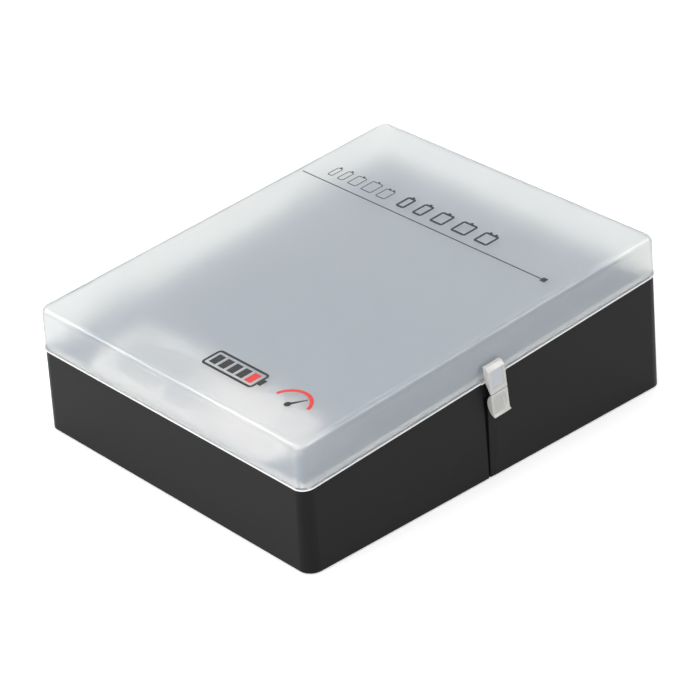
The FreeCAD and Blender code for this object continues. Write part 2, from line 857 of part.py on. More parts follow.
def domed_block(name, inset, roof, edge_radius, foot):
    """A drafted block cut to a sloping roof with rounded edges, and to a sloping foot."""
    body = new_body(name)
    outline = new_sketch(body, "XY_Plane", name + "_outline")
    rounded_rectangle(
        outline, f"case_length - 2 * ({inset})", f"case_width - 2 * ({inset})",
        f"corner_radius - ({inset})",
    )
    add_pad(body, outline, name + "_pad", STOCK, "-wall_draft")
    for part, near_plane, far_plane in (
        ("roof", roof, lowered(roof, f"-{STOCK}")), ("foot", lowered(foot, STOCK), foot)
    ):
        side = new_sketch(body, "XZ_Plane", f"{name}_{part}_side")
        corners = [
            (f"-{FAR}", slope(*near_plane, f"-{FAR}")), (FAR, slope(*near_plane, FAR)),
            (FAR, slope(*far_plane, FAR)), (f"-{FAR}", slope(*far_plane, f"-{FAR}")),
        ]
        polygon(side, corners)
        last = add_pocket_through(body, side, f"{name}_{part}_cut")
    names = []
    for number, edge in enumerate(last.Shape.Edges, start=1):
        middle = edge.valueAt((edge.FirstParameter + edge.LastParameter) / 2)
        points = [vertex.Point for vertex in edge.Vertexes] + [middle]
        if all(abs(point.z - value(slope(*roof, str(point.x)))) < TOLERANCE for point in points):
            names.append(f"Edge{number}")
    fillet = body.newObject("PartDesign::Fillet", name + "_edges")
    fillet.Base = (last, names)
    bind(fillet, "Radius", edge_radius)
    return body


def make_lid():
    shell = cut(
        "lid_shell",
        domed_block("lid_outside", "0", ROOF, "lid_edge_radius", RIM),
        domed_block("lid_inside", "lid_wall", CEILING, "lid_inner_radius", lowered(RIM, "rim_low / 2")),
    )
    bead = ring("lid_bead", "-bead_proud", "lid_wall / 2", RIM, lowered(RIM, "-bead_height"))
    step = ring(
        "lip_root", "lid_wall / 2", "base_wall + lip_clearance + lip_width",
        RIM, lowered(RIM, "-bead_height"),
    )
    lip = ring(
        "lid_lip", "base_wall + lip_clearance", "base_wall + lip_clearance + lip_width",
        lowered(RIM, "lip_depth"), lowered(RIM, "-bead_height"),
    )
    solids = [shell, bead, step, lip]
    for side, spot in HINGE_SIDES:
        solids += lid_knuckle(f"lid_knuckle_{side}", spot)
    for end in (-1, 1):
        solids.append(
            box(
                f"latch_lug_{end + 1}", LATCH, "lug_width", "lug_proud + lid_wall / 2",
                "lug_height", f"{end} * (latch_width / 2 + knuckle_gap + lug_width / 2)",
                "-(lug_proud - lid_wall / 2) / 2", "lug_rise",
            )
        )
    pegs = [
        cylinder(
            f"peg_hole_{end + 1}", LATCH, "peg_radius + pin_fit", "2 * (lid_wall + drill_over)",
            f"{end} * peg_spread", "-(lid_wall + drill_over)", "peg_height", axis="Y",
        )
        for end in (-1, 1)
    ]
    holes = hinge_bore("lid_bore", "pin_radius + pin_fit") + pegs
    return cut("lid_solid", fuse("lid_stock", *solids), fuse("lid_holes", *holes))


def make_hinge_pins():
    length = "lid_knuckle + 2 * (base_knuckle + knuckle_gap)"
    pins = [
        cylinder(f"pin_{side}", BACK, "pin_radius", length, f"({spot}) - ({length}) / 2", axis="X")
        for side, spot in HINGE_SIDES
    ]
    return fuse("hinge_pin_set", *pins)


# ---------------------------------------------------------------- latch


def make_latch_plate():
    """The fixed half of the latch: a framed plate pegged to the lid, thin at its lower edge."""
    front, back = "-(latch_seat + plate_thickness)", "-latch_seat"
    over_bead = "-(latch_seat + bead_proud)"
    corners = [
        (back, "plate_top"),
        (f"{front} + plate_chamfer", "plate_top"),
        (front, "plate_top - plate_chamfer"),
        (front, "-(waist_drop - waist_gap / 2)"),
        (f"{front} + waist_depth", "-(waist_drop - waist_gap / 2)"),
        (over_bead, "-waist_gap"),
        (over_bead, "bead_height + waist_gap"),
        (back, "bead_height + waist_gap + bead_proud"),
    ]
    plate = profile("latch_plate_stock", LATCH, "latch_width", corners)
    pegs = [
        cylinder(
            f"peg_{end + 1}", LATCH, "peg_radius", "lid_wall + latch_seat",
            f"{end} * peg_spread", back, "peg_height", axis="Y",
        )
        for end in (-1, 1)
    ]
    window = box(
        "latch_window", LATCH, "latch_width - 2 * window_border", "2 * window_depth",
        "plate_top + waist_drop - 2 * window_band", "0", front,
        "-waist_drop + window_band",
    )
    return cut("latch_plate_solid", fuse("latch_plate_pegged", plate, *pegs), window)


def make_latch_flap():
    """The swinging half: a tab with a rounded back that hooks under the catch.

    Its front has a thumb scoop that ends in a lip at the tip.
    """
    front = "-(latch_seat + plate_thickness)"
    corners = [
        (front, "-(waist_drop + waist_gap / 2)"),
        (f"{front} + waist_depth", "-(waist_drop + waist_gap / 2)"),
        ("-flap_back", "-(waist_drop + hook_drop)"),
        ("-flap_back", "-flap_tip"),
        (f"{front} - lip_proud", "-flap_tip"),
        (f"{front} - lip_proud", "-(flap_tip - lip_thickness / 2)"),
        (front, "-(flap_tip - lip_thickness)"),
    ]
    block = profile("flap_block", LATCH, "latch_width", corners)
    belly = "-(waist_drop + flap_tip) / 2"
    drum = cylinder(
        "flap_drum", LATCH, "flap_curve", "latch_width", "-latch_width / 2",
        "-(flap_back + flap_curve)", belly, axis="X",
    )
    width = "(latch_width - 2 * window_border)"
    scoop = cylinder(
        "thumb_scoop", LATCH, "scoop_radius", width, f"-{width} / 2",
        f"{front} - (scoop_radius - scoop_depth)", belly, axis="X",
    )
    return cut("latch_flap_solid", common("flap_rounded", block, drum), scoop)


# ---------------------------------------------------------------- tester

CASE_BOTTOM = "-tester_height"
CASE_FLOOR = "(-tester_height + tester_wall)"
PLATE_BOTTOM = "(tester_proud - tester_plate)"
BOARD_BOTTOM = f"({CASE_FLOOR} + board_rise)"
CARD_TOP = f"({PLATE_BOTTOM} - card_drop)"
PILLAR_REACH = "(tester_corner - tester_wall - case_boss_radius - pillar_gap)"
SCREW_INSET = f"(tester_corner - {PILLAR_REACH} / sqrt(2))"
CASE_CORNERS = [
    (f"{i} * (tester_depth / 2 - {SCREW_INSET})", f"{j} * (tester_width / 2 - {SCREW_INSET})")
    for i in (-1, 1) for j in (-1, 1)
]
# Along its width the face holds, from the front: the cradle, the dial and the two studs.
DIAL_Y = "(tester_width / 2 - dial_margin - dial_width / 2)"
CRADLE_START = "(-tester_width / 2 + cradle_margin)"
CRADLE_END = f"({DIAL_Y} - dial_width / 2 - lens_lap - cradle_gap)"
CRADLE_LENGTH = f"({CRADLE_END} - {CRADLE_START})"
CRADLE_BOTTOM = "(cradle_rise - cradle_radius)"
FIXED_CONTACT_Y = f"({CRADLE_START} + contact_inset)"
SLIDER_REST_Y = f"({CRADLE_END} - slider_inset)"
SLOT_CENTRE = f"({SLIDER_REST_Y} - slider_travel / 2)"
SLOT_LENGTH = "(slider_travel + slider_length + 2 * slider_fit)"
STUD_Y = "(tester_width / 2 - stud_margin)"
PIVOT_X = "(pivot_inset - dial_depth / 2)"
NEEDLE_LENGTH = "(dial_depth - 2 * pivot_inset)"
BOARD_Y = "(-tester_width / 2 + tester_wall + board_margin + board_length / 2)"


def make_tester_case():
    outside = rounded_prism(
        "case_outside", TESTER, "tester_depth", "tester_width",
        f"tester_height + {PLATE_BOTTOM}", "tester_corner", "0", "0", CASE_BOTTOM,
    )
    inside = rounded_prism(
        "case_inside", TESTER, "tester_depth - 2 * tester_wall",
        "tester_width - 2 * tester_wall", "tester_height",
        "tester_corner - tester_wall", "0", "0", CASE_FLOOR,
    )
    posts, holes = [], []
    for index, (along, across) in enumerate(CASE_CORNERS):
        posts.append(
            cylinder(
                f"case_boss_{index}", TESTER, "case_boss_radius", "case_boss_height",
                along, across, CASE_BOTTOM,
            )
        )
        holes.append(
            cylinder(
                f"case_hole_{index}", TESTER, "case_screw_radius + screw_fit",
                "case_boss_height + 2 * drill_over", along, across,
                f"{CASE_BOTTOM} - drill_over",
            )
        )
        holes.append(
            cylinder(
                f"case_counterbore_{index}", TESTER, "case_screw_head + screw_fit",
                "case_screw_head_height + drill_over", along, across,
                f"{CASE_BOTTOM} - drill_over",
            )
        )
    for index, (i, j) in enumerate(((-1, -1), (1, -1), (-1, 1), (1, 1))):
        posts.append(
            cylinder(
                f"standoff_{index}", TESTER, "standoff_radius", "board_rise",
                f"{i} * (board_depth / 2 - standoff_radius)",
                f"{BOARD_Y} + {j} * (board_length / 2 - standoff_radius)", CASE_FLOOR,
            )
        )
    shell = cut("case_shell", outside, inside)
    stock = fuse("case_with_posts", shell, *posts)
    return cut("tester_case_solid", stock, fuse("case_holes", *holes))


def make_tester_top():
    """The white face: a cradle for the cell under test, the dial opening and the stud holes."""
    body = new_body("top_plate")
    outline = new_sketch(body, "XY_Plane", "top_outline", PLATE_BOTTOM)
    rounded_rectangle(outline, "tester_depth", "tester_width", "tester_corner")
    pad = add_pad(body, outline, "top_pad", "tester_plate")
    doc.recompute()
    highest = value("tester_proud")
    names = [
        f"Edge{number}" for number, edge in enumerate(pad.Shape.Edges, start=1)
        if all(abs(vertex.Point.z - highest) < TOLERANCE for vertex in edge.Vertexes)
    ]
    rounding = body.newObject("PartDesign::Fillet", "top_edges")
    rounding.Base = (pad, names)
    bind(rounding, "Radius", "tester_edge")
    place(body, TESTER)
    trough = cylinder(
        "cradle_outside", TESTER, "cradle_radius + cradle_wall", CRADLE_LENGTH,
        "0", CRADLE_START, "cradle_rise", axis="Y",
    )
    under_plate = box(
        "cradle_limit", TESTER, "tester_depth", "tester_width", "cradle_radius",
        "0", "0", f"{PLATE_BOTTOM} + tester_plate / 2 - cradle_radius",
    )
    behind = f"{FIXED_CONTACT_Y} - contact_thickness - contact_clearance"
    backing = box(
        "contact_backing", TESTER, "contact_width + 2 * backing_margin", "backing_thickness",
        f"contact_top - {PLATE_BOTTOM}", "0", f"{behind} - backing_thickness / 2", PLATE_BOTTOM,
    )
    pillars, pilots = [], []
    for index, (along, across) in enumerate(CASE_CORNERS):
        foot = f"({CASE_BOTTOM} + case_boss_height + boss_joint)"
        height = f"({PLATE_BOTTOM} + tester_plate / 2 - {foot})"
        pillars.append(
            cylinder(
                f"face_pillar_{index}", TESTER, "case_boss_radius", height, along, across, foot
            )
        )
        pilots.append(
            cylinder(
                f"face_pilot_{index}", TESTER, "case_screw_radius + screw_fit",
                "case_screw_length - case_boss_height + drill_over", along, across,
                f"{foot} - drill_over / 2",
            )
        )
    hollow = cylinder(
        "cradle_hollow", TESTER, "cradle_radius", f"{CRADLE_LENGTH} - 2 * cradle_wall",
        "0", f"{CRADLE_START} + cradle_wall", "cradle_rise", axis="Y",
    )
    dial = rounded_prism(
        "dial_opening", TESTER, "dial_depth", "dial_width", "2 * tester_plate", "well_radius",
        "0", DIAL_Y, f"{PLATE_BOTTOM} - drill_over",
    )
    slot = box(
        "slider_slot", TESTER, "slider_stem + 2 * slider_fit", SLOT_LENGTH, STOCK,
        "0", SLOT_CENTRE, "-cradle_radius",
    )
    slit = box(
        "contact_slit", TESTER, "contact_width + 2 * slider_fit",
        "contact_thickness + 2 * contact_clearance", STOCK,
        "0", f"{FIXED_CONTACT_Y} - contact_thickness / 2", "-cradle_radius",
    )
    studs = [
        cylinder(
            f"stud_hole_{j + 1}", TESTER, "rivet_radius + pin_fit", "2 * tester_plate",
            f"{j} * stud_spacing / 2", STUD_Y, f"{PLATE_BOTTOM} - drill_over",
        )
        for j in (-1, 1)
    ]
    hollowed = cut(
        "plate_hollowed",
        fuse("plate_and_trough", body, common("trough_below", trough, under_plate)), hollow,
    )
    return cut(
        "tester_top_solid", fuse("plate_with_backing", hollowed, backing, *pillars),
        fuse("top_holes", dial, slot, slit, *studs, *pilots),
    )


def make_tester_lens():
    return rounded_prism(
        "lens_solid", TESTER, "dial_depth + 2 * lens_lap", "dial_width + 2 * lens_lap",
        "lens_thickness", "well_radius", "0", DIAL_Y, f"{PLATE_BOTTOM} - lens_thickness",
    )


def make_dial_card():
    card = rounded_prism(
        "card_stock", TESTER, "movement_depth", "movement_length + 2 * card_overhang",
        "card_thickness", "well_radius", "0", DIAL_Y, f"{CARD_TOP} - card_thickness",
    )
    hole = cylinder(
        "card_hole", TESTER, "pivot_radius + 4 * pivot_fit", "2 * drill_over", PIVOT_X,
        DIAL_Y, f"{CARD_TOP} - drill_over",
    )
    return cut("dial_card_solid", card, hole)


def make_meter_movement():
    height = f"({CARD_TOP} - card_thickness - {CASE_FLOOR})"
    block = rounded_prism(
        "movement_stock", TESTER, "movement_depth", "movement_length", height,
        "well_radius", "0", DIAL_Y, CASE_FLOOR,
    )
    hole = cylinder(
        "movement_hole", TESTER, "pivot_radius + pivot_fit", "pivot_depth + drill_over",
        PIVOT_X, DIAL_Y, f"{CARD_TOP} - card_thickness - pivot_depth",
    )
    return cut("movement_solid", block, hole)


def make_needle():
    """A pointer on a hub, at the empty end of its sweep."""
    frame = TESTER.multiply(
        FreeCAD.Placement(
            FreeCAD.Vector(value(PIVOT_X), value(DIAL_Y), value(CARD_TOP)),
            FreeCAD.Rotation(FreeCAD.Vector(0, 0, 1), value("needle_start")),
        )
    )
    pointer = box(
        "pointer", frame, NEEDLE_LENGTH, "needle_width", "needle_thickness",
        f"{NEEDLE_LENGTH} / 2", "0", "needle_rise",
    )
    hub = cylinder("hub", frame, "needle_hub", "2 * needle_thickness", up="needle_rise")
    staff = cylinder("staff", frame, "pivot_radius", "needle_rise + pivot_depth", up="-pivot_depth")
    return fuse("needle_solid", pointer, hub, staff)


def make_slider():
    """The contact carriage: a finger block above the cradle on a stem through the slot."""
    foot = f"({CRADLE_BOTTOM} - cradle_wall - slider_fit - shoe_thickness)"
    block = box(
        "slider_block", TESTER, "slider_width", "slider_length",
        f"slider_top - {CRADLE_BOTTOM} - slider_lift", "0", SLIDER_REST_Y,
        f"{CRADLE_BOTTOM} + slider_lift",
    )
    stem = box(
        "slider_stem_bar", TESTER, "slider_stem", "slider_length",
        f"{CRADLE_BOTTOM} + 2 * slider_lift - {foot}", "0", SLIDER_REST_Y, foot,
    )
    shoe = box(
        "slider_shoe", TESTER, "shoe_width", "slider_length", "shoe_thickness", "0",
        SLIDER_REST_Y, foot,
    )
    return fuse("slider_solid", block, stem, shoe)


def make_moving_contact():
    return box(
        "moving_contact_solid", TESTER, "contact_width", "contact_thickness",
        f"contact_top - {CRADLE_BOTTOM} - slider_lift", "0",
        f"{SLIDER_REST_Y} - slider_length / 2 - contact_thickness / 2",
        f"{CRADLE_BOTTOM} + slider_lift",
    )


def make_fixed_contact():
    """A leaf that rises from the board through the slit to face the sliding contact."""
    return box(
        "fixed_contact_solid", TESTER, "contact_width", "contact_thickness",
        f"contact_top - ({BOARD_BOTTOM} + board_thickness)", "0",
        f"{FIXED_CONTACT_Y} - contact_thickness / 2", f"{BOARD_BOTTOM} + board_thickness",
    )


def make_stud_contacts():
    """Two snap studs for a block cell, riveted through the face."""
    solids = []
    for j in (-1, 1):
        along = f"{j} * stud_spacing / 2"
        solids.append(
            cylinder(
                f"stud_cap_{j + 1}", TESTER, "stud_radius", "stud_height",
                along, STUD_Y, "tester_proud",
            )
        )
        solids.append(
            cylinder(
                f"stud_rivet_{j + 1}", TESTER, "rivet_radius", "tester_plate + rivet_end",
                along, STUD_Y, f"{PLATE_BOTTOM} - rivet_end",
            )
        )
    return fuse("stud_set", *solids)


def make_circuit_board():
    return box(
        "board_solid", TESTER, "board_depth", "board_length", "board_thickness",
        "0", BOARD_Y, BOARD_BOTTOM,
    )


def make_load_resistors():
    """The resistors that load a cell while it is read, lying on the board."""
    board_top = f"({BOARD_BOTTOM} + board_thickness)"
    reach = "(resistor_length / 2 + lead_reach)"
    solids = []
    for i in (-1, 0, 1):
        along = f"{i} * resistor_spacing"
        solids.append(
            cylinder(
                f"resistor_{i + 1}", TESTER, "resistor_radius", "resistor_length", along,
                f"{BOARD_Y} - resistor_length / 2", f"{board_top} + resistor_radius", axis="Y",
            )
        )
        solids.append(
            box(
                f"lead_{i + 1}", TESTER, "lead_width", f"2 * {reach}", "lead_width", along,
                BOARD_Y, f"{board_top} + resistor_radius - lead_width / 2",
            )
        )
        for end in (-1, 1):
            solids.append(
                box(
                    f"lead_leg_{i + 1}_{end + 1}", TESTER, "lead_width", "lead_width",
                    "resistor_radius", along, f"{BOARD_Y} + {end} * ({reach} - lead_width / 2)",
                    board_top,
                )
            )
    return fuse("resistor_set", *solids)


def make_case_screws():
    solids = []
    for index, (along, across) in enumerate(CASE_CORNERS):
        for name, radius, length in (
            ("shank", "case_screw_radius", "case_screw_length"),
            ("head", "case_screw_head", "case_screw_head_height"),
        ):
            solids.append(
                cylinder(f"case_{name}_{index}", TESTER, radius, length, along, across, CASE_BOTTOM)
            )
    return fuse("case_screw_set", *solids)


# ---------------------------------------------------------------- build

NODES = {
    "base_shell": make_base_shell,
    "bottom_cover": make_bottom_cover,
    "cover_screws": make_cover_screws,
    "rubber_feet": make_feet,
    "cell_tray": make_cell_tray,
    "lid": make_lid,
    "hinge_pins": make_hinge_pins,
    "latch_plate": make_latch_plate,
    "latch_flap": make_latch_flap,
    "tester_case": make_tester_case,
    "tester_face": make_tester_top,
    "dial_lens": make_tester_lens,
    "dial_card": make_dial_card,
    "meter_movement": make_meter_movement,
    "meter_needle": make_needle,
    "contact_slider": make_slider,
    "sliding_contact": make_moving_contact,
    "fixed_contact": make_fixed_contact,
    "block_cell_studs": make_stud_contacts,
    "circuit_board": make_circuit_board,
    "load_resistors": make_load_resistors,
    "tester_screws": make_case_screws,
}

for node, maker in NODES.items():
    keep(maker(), node)
doc.recompute()

for obj in doc.Objects:
    if "Invalid" in obj.State or "Error" in obj.State:
        raise RuntimeError(f"{obj.Label} failed to build: {obj.State}")
for obj in parts:
    if obj.Shape.isNull() or not obj.Shape.isValid() or not obj.Shape.Solids:
        raise RuntimeError(f"{obj.Label} has no valid shape")

os.makedirs("parts", exist_ok=True)
for obj in parts:
    obj.Shape.exportStep(os.path.join("parts", obj.Label + ".step"))
    limits = obj.Shape.optimalBoundingBox()
    print(
        f"{obj.Label}: {len(obj.Shape.Solids)} solids, {obj.Shape.Volume / 1000:.2f} cm3, "
        f"x {limits.XMin:.1f} to {limits.XMax:.1f}, y {limits.YMin:.1f} to {limits.YMax:.1f}, "
        f"z {limits.ZMin:.1f} to {limits.ZMax:.1f}"
    )
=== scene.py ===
"""Looks of a sloping battery storage case with a frosted lid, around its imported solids.

Every length is in metres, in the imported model's own frame: +X climbs from the low end to the
tall end, -Y is the latch side, +Z is up.
"""

import logging
import math
from dataclasses import dataclass
from enum import Enum

import bmesh
import bpy
import numpy as np
from mathutils import Matrix, Vector


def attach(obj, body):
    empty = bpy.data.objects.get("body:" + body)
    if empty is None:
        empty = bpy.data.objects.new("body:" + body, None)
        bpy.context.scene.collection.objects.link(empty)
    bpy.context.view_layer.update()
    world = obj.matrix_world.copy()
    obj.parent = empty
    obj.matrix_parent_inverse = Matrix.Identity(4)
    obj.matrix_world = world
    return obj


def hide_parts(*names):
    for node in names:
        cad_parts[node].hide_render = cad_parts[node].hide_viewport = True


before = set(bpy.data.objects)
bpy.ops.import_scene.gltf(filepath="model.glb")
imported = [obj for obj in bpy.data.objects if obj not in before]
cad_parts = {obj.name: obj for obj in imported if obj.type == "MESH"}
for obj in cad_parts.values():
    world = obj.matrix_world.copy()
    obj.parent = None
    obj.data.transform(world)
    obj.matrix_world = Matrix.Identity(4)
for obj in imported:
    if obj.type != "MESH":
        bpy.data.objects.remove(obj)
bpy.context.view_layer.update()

MM = 0.001
LOG = logging.getLogger("battery_case")

WHITE = (1.0, 1.0, 1.0, 1.0)
Colour = tuple[float, float, float]
Points = np.ndarray
Shape = tuple[Points, list[list[int]]]
Socket = bpy.types.NodeSocket
Node = bpy.types.Node

CASE_LENGTH = 220.0 * MM
FOOT_WIDTH = 186.0 * MM
RIM_LOW = 42.1 * MM
RIM_TALL = 58.8 * MM
RIM_MIDDLE = (RIM_LOW + RIM_TALL) / 2
RIM_CLIMB = (RIM_TALL - RIM_LOW) / CASE_LENGTH
ROOF_MIDDLE = 71.8 * MM
ROOF_CLIMB = 15.2 * MM / CASE_LENGTH


# ---------------------------------------------------------------- finishes


def linear(red: int, green: int, blue: int) -> Colour:
    """Turns a colour given as 0 to 255 screen values into linear light, by the sRGB curve.

    Args:
        red: Red on screen.
        green: Green on screen.
        blue: Blue on screen.

    Returns:
        The same colour as linear values from 0 to 1.
    """
    screen = np.array([red, green, blue]) / 255.0
    light = np.where(screen <= 0.04045, screen / 12.92, ((screen + 0.055) / 1.055) ** 2.4)
    return tuple(float(part) for part in light)


class Grain(Enum):
    """How a moulded or worked surface breaks up its highlight: fineness and depth."""

    SMOOTH = (90.0, 0.02 * MM)
    SATIN = (1400.0, 0.012 * MM)
    SPARK = (2600.0, 0.03 * MM)


GRAIN_DETAIL = 3.0
GRAIN_STRENGTH = 0.6
MOTTLE_SCALE = 35.0
MOTTLE_DETAIL = 4.0


@dataclass(frozen=True)
class Graph:
    """The node tree of a material or of the world, with short ways to add to it.

    Attributes:
        tree: The node tree.
    """

    tree: bpy.types.NodeTree

    @property
    def principled(self) -> Node:
        """The shader that a new material starts with."""
        return self.tree.nodes["Principled BSDF"]

    def feed(self, node: Node, inputs: dict) -> Node:
        """Fills a node's inputs: sockets are linked, anything else is a plain value.

        Args:
            node: The node.
            inputs: What goes into each input, by its name or number.

        Returns:
            The same node.
        """
        for name, value in inputs.items():
            if isinstance(value, Socket):
                self.tree.links.new(value, node.inputs[name])
            else:
                node.inputs[name].default_value = value
        return node

    def add(self, kind: str, inputs: dict | None = None) -> Node:
        """Adds a node and fills its inputs.

        Args:
            kind: Its type.
            inputs: What goes into each input, by its name or number.

        Returns:
            The node.
        """
        return self.feed(self.tree.nodes.new(kind), inputs or {})

    def maths(self, operation: str, *values: Socket | float) -> Socket:
        """One step of arithmetic.

        Args:
            operation: Name of the operation.
            values: What it works on, in order.

        Returns:
            The result.
        """
        step = self.tree.nodes.new("ShaderNodeMath")
        step.operation = operation
        return self.feed(step, dict(enumerate(values))).outputs[0]

    def colours(self, share: Socket, first: object, second: object) -> Socket:
        """A blend of two colours.

        Args:
            share: The second colour's share.
            first: Socket or red, green, blue and alpha.
            second: The same for the other colour.

        Returns:
            The blend.
        """
        blend = self.tree.nodes.new("ShaderNodeMix")
        blend.data_type = "RGBA"
        self.feed(blend, {"Factor": share, "A": first, "B": second})
        return blend.outputs["Result"]

    def shaders(self, share: Socket | float, first: Node, second: Node) -> Node:
        """A blend of two shaders.

        Args:
            share: The second shader's share.
            first: One shader.
            second: The other shader.

        Returns:
            The node that blends them.
        """
        return self.add(
            "ShaderNodeMixShader", {"Fac": share, 1: first.outputs[0], 2: second.outputs[0]}
        )

    def place(self) -> Socket:
        """Place on the piece itself, which moves with it."""
        return self.add("ShaderNodeTexCoord").outputs["Object"]

    def over_rim(self) -> tuple[Socket, Socket]:
        """Place along the case, and height with the rim's climb taken off.

        Returns:
            Sockets with the place along X and with the height, at which the whole rim is level.
        """
        split = self.add("ShaderNodeSeparateXYZ", {"Vector": self.place()})
        along = split.outputs["X"]
        return along, self.maths("MULTIPLY_ADD", along, -RIM_CLIMB, split.outputs["Z"])

    def seen(self) -> Socket:
        """Marks the rays that see a backdrop.

        Returns:
            A socket that is 1 on camera, glossy and transmission rays, and 0 on others.
        """
        path = self.add("ShaderNodeLightPath")
        share = path.outputs["Is Camera Ray"]
        for ray in ("Is Glossy Ray", "Is Transmission Ray"):
            share = self.maths("MAXIMUM", share, path.outputs[ray])
        return share


class Look:
    """What every finish does: it makes its material once, and its pieces share it.

    Attributes:
        name: The finish's own name.
    """

    name: str

    def material(self) -> bpy.types.Material:
        """Makes the material, or finds it where it was made before.

        Returns:
            The Blender material of this name.
        """
        known = bpy.data.materials.get(self.name)
        if known:
            return known
        made = bpy.data.materials.new(self.name)
        made.use_nodes = True
        self.shade(Graph(made.node_tree))
        return made

    def shade(self, graph: Graph) -> None:
        """Sets up the nodes of a new material.

        Args:
            graph: Its node tree.
        """
        raise NotImplementedError


@dataclass(frozen=True)
class Finish(Look):
    """One material as its shader values: uniform ones go straight on the shader's sockets.

    Attributes:
        name: The finish's own name.
        colour: Base colour in linear light.
        roughness: 0 is a mirror and 1 is chalk.
        metallic: 1 for bare metal.
        transmission: How much light goes through the surface.
        ior: Index of refraction.
        specular: Strength of the plain reflection; 0.5 is the usual one.
        grain: The surface's texture.
        mottle: How far the colour wanders from its middle, as a share of it.
    """

    name: str
    colour: Colour
    roughness: float = 0.5
    metallic: float = 0.0
    transmission: float = 0.0
    ior: float = 1.5
    specular: float = 0.5
    grain: Grain = Grain.SMOOTH
    mottle: float = 0.05

    def wander(self, graph: Graph) -> Socket:
        """A colour that drifts a little from place to place, as moulded plastic's does.

        Args:
            graph: The node tree to add to.

        Returns:
            A colour socket.
        """
        cloud = graph.add("ShaderNodeTexNoise", {
            "Vector": graph.place(), "Scale": MOTTLE_SCALE, "Detail": MOTTLE_DETAIL,
        })
        tones = [
            (*(min(part * share, 1.0) for part in self.colour), 1.0)
            for share in (1.0 - self.mottle, 1.0 + self.mottle)
        ]
        return graph.colours(cloud.outputs["Fac"], *tones)

    def shade(self, graph: Graph) -> None:
        """Sets up the nodes of a new material.

        Args:
            graph: Its node tree.
        """
        fineness, depth = self.grain.value
        noise = graph.add("ShaderNodeTexNoise", {
            "Vector": graph.place(), "Scale": fineness, "Detail": GRAIN_DETAIL,
        })
        bump = graph.add("ShaderNodeBump", {
            "Height": noise.outputs["Fac"], "Distance": depth, "Strength": GRAIN_STRENGTH,
        })
        graph.feed(graph.principled, {
            "Base Color": self.wander(graph) if self.mottle else (*self.colour, 1.0),
            "Roughness": self.roughness,
            "Metallic": self.metallic,
            "Transmission Weight": self.transmission,
            "IOR": self.ior,
            "Specular IOR Level": self.specular,
            "Normal": bump.outputs["Normal"],
        })


@dataclass(frozen=True)
class FrostedPlastic(Look):
    """Milky see-through plastic: part of the light scatters back cool, the rest goes through warm.

    Thick places near the rim scatter nearly all of it, so they show as a white line;
    that near-white colour also carries a painted highlight of the light collecting in the rim's
    edge.

    Attributes:
        name: The finish's own name.
        scatter: Colour of what a thin wall scatters back.
        thick: Colour of the thick rim: near white, partly its own, partly a painted highlight.
        through: Colour of what goes through.
        clearness: Share of the light that goes through a thin wall.
        haze: Roughness of the surfaces for light that goes through.
        gloss: Roughness of the outside's reflection.
        ior: Index of refraction.
        coat: Strength of the smooth skin's own reflection.
        coat_gloss: Roughness of that reflection.
        bead: Height of the thick rim, which carries the painted highlight.
        fade: Height over which the thick rim turns into thin wall.
        lamp_share: Share of each lamp's light that reaches the pieces behind the plastic.
    """

    name: str = "frosted lid"
    scatter: Colour = (0.72, 0.82, 0.955)
    # Near white: the thick rim's own whiteness plus a painted highlight of light collecting in its
    # edge.
    thick: Colour = (0.97, 0.96, 0.95)
    through: Colour = (0.99, 0.955, 0.87)
    clearness: float = 0.77
    haze: float = 0.38
    gloss: float = 0.3
    ior: float = 1.25
    coat: float = 0.5
    coat_gloss: float = 0.12
    bead: float = 0.6 * MM
    fade: float = 0.2 * MM
    lamp_share: float = 0.45

    def shade(self, graph: Graph) -> None:
        """Sets up the nodes of a new material.

        Args:
            graph: Its node tree.
        """
        _, height = graph.over_rim()
        # Below start the lid takes the near-white thick colour and lets nothing through: partly
        # the thick plastic's own look, partly a painted highlight along the rim's edge.
        start = RIM_MIDDLE + self.bead
        wall = graph.add("ShaderNodeMapRange", {
            "Value": height, "From Min": start, "From Max": start + self.fade,
        }).outputs["Result"]
        skin = {
            "IOR": self.ior, "Coat Weight": self.coat, "Coat Roughness": self.coat_gloss,
        }
        milky = graph.feed(graph.principled, skin | {
            "Base Color": graph.colours(wall, (*self.thick, 1.0), (*self.scatter, 1.0)),
            "Roughness": self.gloss,
        })
        clear = graph.add("ShaderNodeBsdfPrincipled", skin | {
            "Base Color": (*self.through, 1.0),
            "Roughness": self.haze,
            "Transmission Weight": 1.0,
        })
        plastic = graph.shaders(graph.maths("MULTIPLY", wall, self.clearness), milky, clear)
        gap = graph.add("ShaderNodeBsdfTransparent")
        lamp_lit = graph.shaders(self.lamp_share, plastic, gap)
        from_lamp = graph.add("ShaderNodeLightPath").outputs["Is Shadow Ray"]
        seen = graph.shaders(from_lamp, plastic, lamp_lit)
        graph.feed(graph.tree.nodes["Material Output"], {"Surface": seen.outputs[0]})


